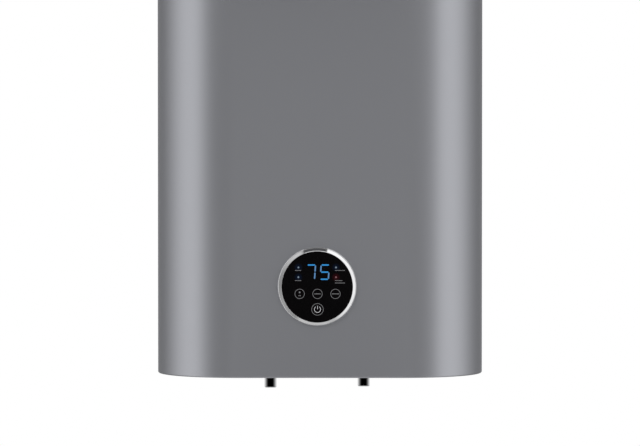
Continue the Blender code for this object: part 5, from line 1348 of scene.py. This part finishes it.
def make_power_board():
    """The circuit board under the bridge, with spacers, solder, and small parts on its underside."""
    lacquer, solder, steel, sleeve, resin = range(5)
    shape = Shape()
    rows = [(0.0002, 0.0), (0.0, 0.0002), (0.0, BOARD_SHEET - 0.0002), (0.0002, BOARD_SHEET)]
    shape.block(soft_rectangle(0.0644, 0.097, 0.002), rows, underside_spot(BOARD_X, 0.0, BOARD_TOP), lacquer)
    spacer = [(0.0, -0.0063, 0), (0.0028, -0.0063, 1), (0.0028, 0.0, 1), (0.0, 0.0, 0)]
    for x in (-0.0302, 0.0302):
        for y in (-0.0435, 0.0435):
            shape.turned(spacer, 48, underside_spot(BOARD_X + x, y, BOARD_TOP), paint=steel)
            head = board_spot(BOARD_X + x, y)(cross_head(0.0028, 0.0015, 36))
            shape.patch(head, around=True, paint=steel)
    bump = [(0.0, 0.0), (0.0017, 0.0), (0.0015, 0.0003), (0.0007, 0.0007), (0.0004, 0.0012), (0.0, 0.0013)]
    places = [(x, y) for x in (-0.049, -0.037) for y in (-0.029, 0.029)]
    for x, y in [(-0.054, 0.0135), (0.0044, -0.0135), (-0.005, -0.0415), *places]:
        shape.turned(bump, 20, board_spot(x, y), paint=solder)
    for x, y, radius, height in (
        (-0.046, 0.0375, 0.0040, 0.011), (-0.035, 0.0375, 0.0040, 0.011), (-0.045, -0.0375, 0.0050, 0.012)
    ):
        can = [(0.0, 0.0), (radius, 0.0002), (radius, 0.0008), (radius - 0.0003, 0.0012), (radius, 0.0017)]
        can += [(radius, height - 0.0004), (radius - 0.0004, height)]
        lid = [(radius - 0.0004, height), (radius - 0.0007, height - 0.0002), (0.0, height - 0.0002)]
        shape.turned(can, 40, board_spot(x, y), paint=sleeve)
        shape.turned(lid, 40, board_spot(x, y), paint=solder)
    body = [(0.0, 0.0), (0.0010, 0.0), (0.0013, 0.0003), (0.0013, 0.0011), (0.0011, 0.0014)]
    body += [(radius, 0.0064 - level) for radius, level in body[::-1]]
    route = [(-0.0022, 0.0, 0.0), (-0.0020, 0.0, 0.0012), (-0.0010, 0.0, 0.0014), (0.0074, 0.0, 0.0014)]
    route = soft_route(route + [(0.0084, 0.0, 0.0012), (0.0086, 0.0, 0.0)], 4)
    for x, y in ((-0.030, -0.031), (-0.030, -0.036), (-0.030, -0.041), (-0.018, 0.033), (-0.018, 0.038)):

        def lying(points, spot=board_spot(x, y)):
            a, b, along = np.moveaxis(np.asarray(points), -1, 0)
            return spot(np.stack([along, b, a + 0.0014], -1))

        shape.turned(body, 20, lying, paint=resin)
        shape.carried(board_spot(x, y)(route), round_section(0.0003, 8), (0.0, 1.0, 0.0), paint=solder)
    chip = board_spot(-0.014, -0.026)
    rows = [(0.0, 0.0002), (0.0, 0.0009), (0.0004, 0.0014)]
    shape.block(soft_rectangle(0.0090, 0.0060, 0.0003), rows, chip, paint=sleeve)
    leg = [(0.0028, 0.0008), (0.0036, 0.0008), (0.0040, 0.0001), (0.0046, 0.0001)]
    for x in np.arange(5) * 0.0018 - 0.0036:
        for side in (-1, 1):
            route = soft_route([(x, side * y, level) for y, level in leg], 3)
            shape.carried(chip(route), round_section(0.0003, 8), (1.0, 0.0, 0.0), paint=solder)
    finishes = ("circuit_board", "solder", "zinc_steel", "dark_plastic", "cream_resin")
    shape.piece("dressed_board", "circuit_board", "power_board", finishes=finishes)


def make_relays():
    """Two sealed relays: a case with a chamfered lid line and a shallow step round its top."""
    rows = [(0.0004, 0.0), (0.0, 0.0004), (0.0, 0.0024), (0.0003, 0.0026), (0.0003, 0.0029), (0.0, 0.0031)]
    rows += [(0.0, 0.0150), (0.0006, 0.0158), (0.0016, 0.0160), (0.0020, 0.0157)]
    dot = [(0.0, 0.0156), (0.0007, 0.0156), (0.0007, 0.0159), (0.0, 0.0159)]
    for name, y in (("front", -RELAY_Y), ("rear", RELAY_Y)):
        spot = underside_spot(RELAY_X, y, BOARD_FITTING)
        shape = Shape().block(soft_rectangle(0.018, 0.014, 0.0010), rows, spot)
        shape.turned(dot, 16, underside_spot(RELAY_X - 0.006, y + 0.004, BOARD_FITTING), paint=1)
        finishes = ("relay_blue", "white_plastic")
        shape.piece(f"{name}_relay_case", "relay_blue", f"{name}_relay", finishes=finishes)


def make_transformer():
    """The transformer: a stack of thin core sheets, a bobbin with two flanges and a taped winding."""
    spot = underside_spot(TRANSFORMER_X, 0.0, BOARD_FITTING)
    shape = Shape()
    sheets, stack = 15, 0.0150
    step = stack / sheets
    for index in range(sheets):
        y = -stack / 2 + (index + 0.5) * step

        def stood(points, y=y):
            across, rise, through = np.moveaxis(np.asarray(points), -1, 0)
            return spot(np.stack([across, y + 0 * rise - through, rise + 0.0112], -1))

        trim = 0.0001 * (index % 3)
        outline = soft_rectangle(0.0258 - trim, 0.0192 - trim, 0.0006, 2)
        shape.block(outline, [(0.0, -0.47 * step), (0.0, 0.47 * step)], stood)
    for y in (-0.0142, 0.0142):
        outline = soft_rectangle(0.0160, 0.0016, 0.0005, 2)
        flange = underside_spot(TRANSFORMER_X, y, BOARD_FITTING)
        shape.block(outline, [(0.0, 0.0), (0.0, 0.0180), (0.0003, 0.0184)], flange, paint=2)
    rows = [(0.0010, 0.0030), (0.0, 0.0045), (0.0, 0.0150), (0.0010, 0.0166)]
    shape.block(soft_rectangle(0.0150, 0.0270, 0.0020, 4), rows, spot, paint=1)
    finishes = ("core_sheets", "yellow_tape", "dark_plastic")
    shape.piece("laminated_transformer", "dark_plastic", "transformer", finishes=finishes)


def make_terminal_block():
    """The terminal block: three poles with a screw sunk in each, parted by low walls."""
    top, floor, well, square_half = 0.0134, 0.0104, 0.0026, 0.0045
    spot = underside_spot(DEVICE_X, -DEVICE_SPREAD, BRIDGE_UNDER - GAP)
    poles = np.array([-1, 0, 1]) * 0.034 / 3
    rows = [(0.0004, 0.0), (0.0, 0.0004), (0.0, 0.0130), (0.0003, top)]
    shape = Shape().block(soft_rectangle(0.028, 0.034, 0.0008, 2), rows, spot, lid=False)
    steps = np.linspace(-square_half, square_half, 5)
    x = np.array([-0.0137, *steps, 0.0137])
    y = np.concatenate([[-0.0167], *(pole + steps for pole in poles), [0.0167]])

    def lay(flat):
        return spot(level_sheet(flat, top))[:, ::-1]

    holes = []
    for pole in poles:
        centre = np.array([0.0, pole])

        def hole(square, centre=centre):
            return round_edge(square, centre, well)

        rim = hole(square_edge(steps, pole + steps))
        wall = [level_sheet(rim, top), level_sheet(rim, floor), level_sheet(rim * 0 + centre, floor)]
        shape.patch(spot(np.stack(wall)), around=True)
        holes.append((centre, (square_half, square_half), hole))
        place = underside_spot(DEVICE_X, -DEVICE_SPREAD - pole, BRIDGE_UNDER - GAP)
        screw = cross_head(0.0023, 0.0016, 36) + (0.0, 0.0, floor)
        shape.patch(place(screw), around=True, paint=1)
    shape.pierced(x, y, holes, lay)
    rows = [(0.0, 0.0132), (0.0, 0.0147), (0.0003, 0.0150)]
    for wall in (-0.0162, -0.034 / 6, 0.034 / 6, 0.0162):
        place = underside_spot(DEVICE_X, -DEVICE_SPREAD + wall, BRIDGE_UNDER - GAP)
        shape.block(soft_rectangle(0.0274, 0.0014, 0.0004, 2), rows, place)
    finishes = ("white_plastic", "brass")
    shape.piece("three_pole_block", "white_plastic", "terminal_block", finishes=finishes)


def make_cutout():
    """The thermal cut-out: a round moulded body with a crimped band and a threaded neck, and its button."""
    spot = underside_spot(DEVICE_X, DEVICE_SPREAD, BRIDGE_UNDER - GAP)
    profile = [
        (0.0, 0.0), (0.0136, 0.0), (0.0140, 0.0004), (0.0140, 0.0030), (0.0134, 0.0034),
        (0.0134, 0.0100), (0.0130, 0.0110), (0.0116, 0.0152), (0.0108, 0.0160), (0.0060, 0.0160),
    ]
    neck = thread(0.0055, 0.0060, np.arange(0.0163, 0.0210, 0.0008), 0.0004)
    bore = [(0.0055, 0.0218), (0.0050, 0.0220), (0.0036, 0.0220)]
    bore += [(0.0034, 0.0218), (0.0034, 0.0150), (0.0, 0.0150)]
    shape = Shape().turned(np.concatenate([profile, neck, bore]), 64, spot)
    band = [(0.0132, 0.0040), (0.0139, 0.0040), (0.0139, 0.0084), (0.0132, 0.0084)]
    shape.turned(eased(band, 0.0003, 3, closed=True), 64, spot, closed=True, paint=1)
    finishes = ("dark_plastic", "zinc_steel")
    shape.piece("cutout_body", "dark_plastic", "thermal_cutout", finishes=finishes)
    top = [(0.0, 0.0140), (0.0030, 0.0140), (0.0030, 0.0222)]
    top += [(0.0028, 0.0227), (0.0022, 0.0230), (0.0, 0.0230)]
    button = Shape().turned(top, 40, spot)
    button.piece("red_button", "red_plastic", "reset_button", body="reset_button_body")


def lead(name, route, radius, slot, across, second=None, sleeved=False):
    """A lead: a round section carried along its soft route.

    A second finish is a stripe along it, or covers a sleeve over its first end.
    """
    sides = 16
    striped = second is not None and not sleeved
    paint = (np.arange(sides) * 3 // sides == 1).astype(int) if striped else 0
    path = on_casing(soft_route(route))
    shape = Shape().carried(path, round_section(radius, sides), across, paint=paint)
    if sleeved:
        shape.carried(path[:7], round_section(radius * 1.45, sides), across, paint=1)
    shape.piece(f"{name}_run", slot, name, finishes=(slot, second) if second else ())


def make_heater_leads():
    """The leads from each heater's studs, past the water pipe, to a device's face."""
    tip, turn = PLATE_BOTTOM - 0.0143, 0.007
    for name, tank, pipe_x, face, end_y, end_level in (
        ("hot", -1, PIPE_PLACES[0], -0.0523, 0.018, 0.0398),
        ("cold", 1, PIPE_PLACES[1], 0.0445, 0.024, 0.0485),
    ):
        for where, side in (("front", -1), ("rear", 1)):
            x, y = tank * HALF_FLAT, side * LEG_OFFSET
            route = [
                (x, y, tip), (x, y, tip - turn / 2), (tank * (HALF_FLAT - turn), y, tip - turn),
                (pipe_x, side * 0.0168775, (tip - turn + end_level) / 2),
                (face + tank * turn, side * end_y, end_level), (face, side * end_y, end_level),
            ]
            node = f"{name}_lead_{where}"
            lead(node, route, 0.0014, "brown_wire", (0.0, 1.0, 0.0), "seal_rubber", sleeved=True)


def make_leads():
    """The sensor and earth leads of each tank, which pass beside the water pipes, and the display's."""
    for name, tank, pipe_x, sensor_end in (
        ("hot", -1, PIPE_PLACES[0], -0.054), ("cold", 1, PIPE_PLACES[1], 0.0044)
    ):
        pocket, y = tank * (HALF_FLAT - ROD_OFFSET), -tank * 0.0134775
        route = [
            (pocket, 0.0, 0.0636), (pocket, 0.0, 0.0566), ((pocket + pipe_x) / 2, y / 2, 0.0428),
            (pipe_x, y, 0.036), (sensor_end + tank * 0.007, y, 0.036), (sensor_end, y, 0.044),
            (sensor_end, y, 0.0475),
        ]
        lead(f"{name}_sensor_lead", route, 0.001, "grey_wire", (0.0, 1.0, 0.0))
        end = DEVICE_X + tank * 0.0143
        route = [
            (tank * HALF_FLAT, -0.030, 0.0656), (tank * HALF_FLAT, -0.030, 0.0589),
            (pipe_x, -0.0326667, 0.0425), (end + tank * 0.007, -0.0353333, 0.046),
            (end, -0.0353333, 0.046),
        ]
        lead(f"{name}_earth_lead", route, 0.001, "earth_wire", (0.0, 1.0, 0.0), "yellow_stripe")
    route = [
        (-0.1339, 0.1251), (-0.1319, 0.1251), (-0.12445, 0.0966), (-0.12445, 0.0715),
        (-0.093225, 0.056), (-0.062, 0.036), (-0.0415, 0.04175), (-0.0415, 0.0475),
    ]
    route = [(WINDOW_CENTRE[0], y, level) for y, level in route]
    lead("display_cable", route, 0.002, "grey_wire", (1.0, 0.0, 0.0))


def reflect_only(thing):
    """Makes a card or tent of the studio show in gloss and nowhere else."""
    for ray in ("camera", "diffuse", "transmission", "shadow", "volume_scatter"):
        setattr(thing, f"visible_{ray}", False)
    thing.data.materials[0].cycles.emission_sampling = "NONE"


def panel_angles(finish):
    """A direction's x, y, z, and its angle off the line in which the panel's glass mirrors the camera."""
    point = finish.node("ShaderNodeTexCoord", output="Object")
    x, y, z = finish.split(finish.node("ShaderNodeVectorMath", {"operation": "NORMALIZE"}, {0: point}))
    along = z * -math.sin(MIRROR_PITCH) - y * math.cos(MIRROR_PITCH)
    return x, y, z, finish.maths("ARCCOSINE", along)


def from_front(finish, x, y):
    """How far round an axis a direction is: 0 in front of the heater, 1 behind it."""
    return abs(finish.maths("ARCTAN2", x, y * -1.0)) / math.pi


def ball(radius):
    """A sphere's profile: (radius cos turn, radius sin turn)."""
    turn = np.linspace(-math.pi / 2, math.pi / 2, STUDIO_SEGMENTS // 2 + 1)
    return np.stack([radius * np.cos(turn), radius * np.sin(turn)], -1)


def as_given(points):
    return points


def make_tent():
    """A round studio tent that only shows in gloss, lit by panels at its sides.

    Its light depends on the direction from the control panel: how far round (0 in front of the
    heater, 1 behind it), and up or down. It glows a little round the line in which the glass
    mirrors the camera, and in front of the heater's foot. A small dark flag hangs in that line.
    """
    finish = Finish("studio_tent", "ShaderNodeEmission")
    x, y, z, off_axis = panel_angles(finish)
    side = finish.level_by(from_front(finish, x, y), TENT_SIDES)
    high, low = z.step(0.45, 0.85), z.step(-0.55, -0.9)
    level = side + high * (TENT_TOP - side) + low * (TENT_BOTTOM - side)
    level = level + off_axis.falls(TENT_GLOW_END, TENT_GLOW)
    level = level + z.step(-0.12, -0.20) * abs(x).step(0.10, 0.30, TENT_GLOW, 0.0)
    level = level * off_axis.rises(GLASS_FLAG_EDGE)
    finish.paint(Color=finish.grey(level), Strength=TENT_STRENGTH)
    tent = Shape().turned(ball(TENT_RADIUS), STUDIO_SEGMENTS, as_given).staged("studio_tent", finish)
    tent.location = TENT_CENTRE
    reflect_only(tent)


def make_bezel_light(bezel):
    """A ring of light that only the bezel mirrors: bright to its left, dim to its right.

    The bezel's band leans inwards, so each part of it mirrors the far side of this ring. Its light
    depends on the clock angle round the panel's axis. Dark patches close its lowest part and its
    outer edge at the top, and a light beside the low patch brightens the bezel's lip.
    """
    finish = Finish("bezel_light", "ShaderNodeMixShader")
    x, _, z, off_axis = panel_angles(finish)
    clock = finish.maths("ARCTAN2", x * -1.0, z * -1.0) / TURN + 0.5
    level = finish.level_by(clock, BEZEL_RING_LEVELS)
    edge_level = finish.level_by(clock, BEZEL_EDGE_LEVELS)
    level = level + off_axis.rises(RING_EDGE_START) * (edge_level - level)
    ring = off_axis.rises(RING_START) * off_axis.falls(RING_END)
    from_patch = abs(clock - PATCH_CLOCK)
    low_side, high_side = from_patch.step(*LOW_PATCH_REACH, 1.0, 0.0), from_patch.step(*HIGH_PATCH_REACH)
    patch = off_axis.rises(LOW_PATCH_START) * off_axis.falls(LOW_PATCH_END) * low_side
    patch = patch + off_axis.rises(HIGH_PATCH_START) * high_side
    lip = off_axis.rises(LOW_PATCH_END) * low_side * off_axis.falls(LIP_END)
    light = finish.node("ShaderNodeEmission", {}, {"Color": finish.grey(level * ring + lip * LIP_LEVEL)})
    clear = finish.node("ShaderNodeBsdfTransparent")
    glow = finish.node("ShaderNodeAddShader", {}, {0: light, 1: clear})
    dark = finish.node("ShaderNodeEmission", {}, {"Color": PATCH_COLOUR})
    for index, value in enumerate((patch, glow, dark)):
        finish.feed(finish.shader.inputs[index], value)
    light = Shape().turned(ball(BEZEL_LIGHT_RADIUS), STUDIO_SEGMENTS, as_given)
    light = light.staged("bezel_light", finish)
    light.location = TENT_CENTRE
    reflect_only(light)
    receivers = bpy.data.collections.new("bezel_light_receivers")
    receivers.objects.link(bezel)
    light.light_linking.receiver_collection = receivers


def make_pipe_flags():
    """A small dark collar in front of each pipe, under the casing, which only gloss shows.

    It gives the pipes their black core. Its light rises with the angle from the front.
    """
    for node in ("hot_outlet_pipe", "cold_inlet_pipe"):
        low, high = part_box(node)
        finish = Finish(f"{node}_flag", "ShaderNodeEmission")
        x, y, _ = finish.split(finish.node("ShaderNodeTexCoord", output="Object"))
        finish.paint(Color=finish.grey(finish.level_by(from_front(finish, x, y), PIPE_FLAG_LEVELS)))
        profile = [(FLAG_RADIUS, FLAG_BOTTOM), (FLAG_RADIUS, FLAG_TOP)]
        flag = Shape().turned(profile, STUDIO_SEGMENTS, as_given).staged(f"{node}_flag", finish)
        flag.location = ((low.x + high.x) / 2, CASING_Y, 0.0)
        reflect_only(flag)


def make_floor():
    """A round pale floor that fades out at its edge. It is open to the eye from below."""
    finish = Finish("studio_floor", Roughness=0.9, Specular_IOR_Level=0.1)
    mottle = finish.noise(3.0, 3.0)
    finish.paint(Base_Color=finish.mix(mottle, (0.84, 0.84, 0.84), (0.88, 0.88, 0.88)))
    x, y, _ = finish.split(finish.place())
    seen = (x * x + y * y).step(FLOOR_RADIUS**2 * 0.35, FLOOR_RADIUS**2, 1.0, 0.0)
    under = finish.node("ShaderNodeNewGeometry", output="Backfacing")
    finish.paint(Alpha=seen * (1.0 - under))
    profile = [(FLOOR_RADIUS, FLOOR_LEVEL), (0.0, FLOOR_LEVEL)]
    floor = Shape().turned(profile, STUDIO_SEGMENTS, as_given).staged("studio_floor", finish)
    floor.visible_glossy = False


def make_lamp(name, place, size, power):
    """A soft round lamp, aimed at the heater's lower half. Only what it lights shows it."""
    light = bpy.data.lights.new(name, "AREA")
    light.shape = "DISK"
    light.size = size
    light.energy = power
    lamp = bpy.data.objects.new(name, light)
    bpy.context.scene.collection.objects.link(lamp)
    x, y, z = np.subtract(LAMP_TARGET, place)
    lamp.location = place
    lamp.rotation_euler = (math.atan2(math.hypot(x, y), -z), 0.0, math.atan2(y, x) - math.pi / 2)
    lamp.visible_camera = False
    lamp.visible_glossy = False


def make_camera():
    lens = bpy.data.cameras.new("camera")
    lens.lens = CAMERA_LENS
    lens.sensor_width = SENSOR_WIDTH
    camera = bpy.data.objects.new("camera", lens)
    bpy.context.scene.collection.objects.link(camera)
    camera.location = CAMERA_PLACE
    camera.rotation_euler = (math.pi / 2 - CAMERA_PITCH, 0.0, 0.0)
    bpy.context.scene.camera = camera


def make_studio():
    """Plain soft light, a white room, the tent that metal mirrors, the floor and the camera.

    The room is brighter to the eye, in gloss and through glass than as a light.
    """
    world = bpy.data.worlds.new("studio")
    bpy.context.scene.world = world
    studio = Studio(world)
    rays = studio.node("ShaderNodeLightPath").socket.node.outputs
    kinds = ("Camera", "Glossy", "Transmission")
    eye, gloss, through = (Value(studio, rays[f"Is {kind} Ray"]) for kind in kinds)
    seen = studio.maths("MAXIMUM", studio.maths("MAXIMUM", eye, gloss), through)
    studio.paint(Color=WHITE, Strength=seen * ROOM_SEEN + ROOM_LIGHT)
    for lamp in LAMPS:
        make_lamp(*lamp)
    make_tent()
    make_pipe_flags()
    make_floor()
    make_camera()
    bpy.context.scene.view_settings.view_transform = "Standard"


def all_finishes():
    """Every finish by its name. The record's material slots come first."""
    made = [
        casing_paint(),
        moulded("silver_plastic", (0.40, 0.405, 0.43), 0.42, 0.55),
        moulded("grey_plastic", (0.30, 0.30, 0.31), 0.5),
        moulded("dark_plastic", (0.025, 0.025, 0.027), 0.45),
        dark_glass(),
        polished("bezel_chrome", (0.90, 0.90, 0.91), 0.03),
        polished("pipe_chrome", (0.86, 0.86, 0.87), 0.06),
        enamel(),
        foam_skin(),
        zinc_plate(),
        heated_metal("stainless", (0.60, 0.60, 0.61), (0.70, 0.70, 0.69), 0.30),
        rubber(),
        heated_metal("copper", (0.62, 0.25, 0.14), (0.86, 0.46, 0.29), 0.32),
        cast_metal(),
        board_lacquer(),
        moulded("relay_blue", (0.01, 0.05, 0.32), 0.4),
        moulded("red_plastic", (0.50, 0.012, 0.010), 0.3),
        moulded("blue_plastic", (0.012, 0.055, 0.42), 0.3),
        moulded("white_plastic", (0.78, 0.78, 0.75), 0.4),
        moulded("brown_wire", (0.11, 0.035, 0.012), 0.4),
        moulded("earth_wire", (0.20, 0.36, 0.010), 0.4),
        moulded("grey_wire", (0.26, 0.26, 0.27), 0.4),
        lit("lit_blue", (0.006, 0.205, 0.52), 0.02),
        lit("lit_pale_blue", (0.050, 0.165, 0.35), 0.06),
        lit("lamp_blue", (0.135, 0.175, 0.225)),
        lit("lamp_red", (0.165, 0.065, 0.075)),
        # The printed marks glow: their emission is painted light, a fixed brightness in place of lamps
        # lighting the print.
        lit("print_grey", (0.15, 0.15, 0.155)),
        lit("print_white", (0.62, 0.62, 0.64)),
        polished("solder", (0.62, 0.62, 0.60), 0.3),
        moulded("cream_resin", (0.60, 0.47, 0.28), 0.45),
        moulded("core_sheets", (0.16, 0.16, 0.165), 0.45, 0.8),
        moulded("yellow_tape", (0.70, 0.48, 0.05), 0.35),
        polished("brass", (0.62, 0.45, 0.18), 0.25),
        moulded("yellow_stripe", (0.62, 0.50, 0.02), 0.4),
    ]
    return {finish.name: finish for finish in made}


make_studio()
FINISHES = all_finishes()
for part in frame["record"]["subparts"]:
    node = frame["nodes"][part["node"]]
    node.data.materials.clear()
    node.data.materials.append(FINISHES[part["material_slot"]].material)
make_casing()
make_top_cap()
make_bezel_light(make_bezel())
make_glass()
make_digits()
make_lamps()
make_key_rings()
make_printed_bars()
make_power_sign()
make_pipes()
make_tray()
make_cover()
make_cover_screws()
make_pipe_rings()
make_gland()
for name, level in zip(("upper", "lower"), BRACKET_LEVELS):
    make_bracket(f"{name}_wall_strip", f"{name}_bracket", level)
make_bracket_bolts()
make_flanges()
make_bridge()
make_power_board()
make_relays()
make_transformer()
make_terminal_block()
make_cutout()
make_heater_leads()
make_leads()
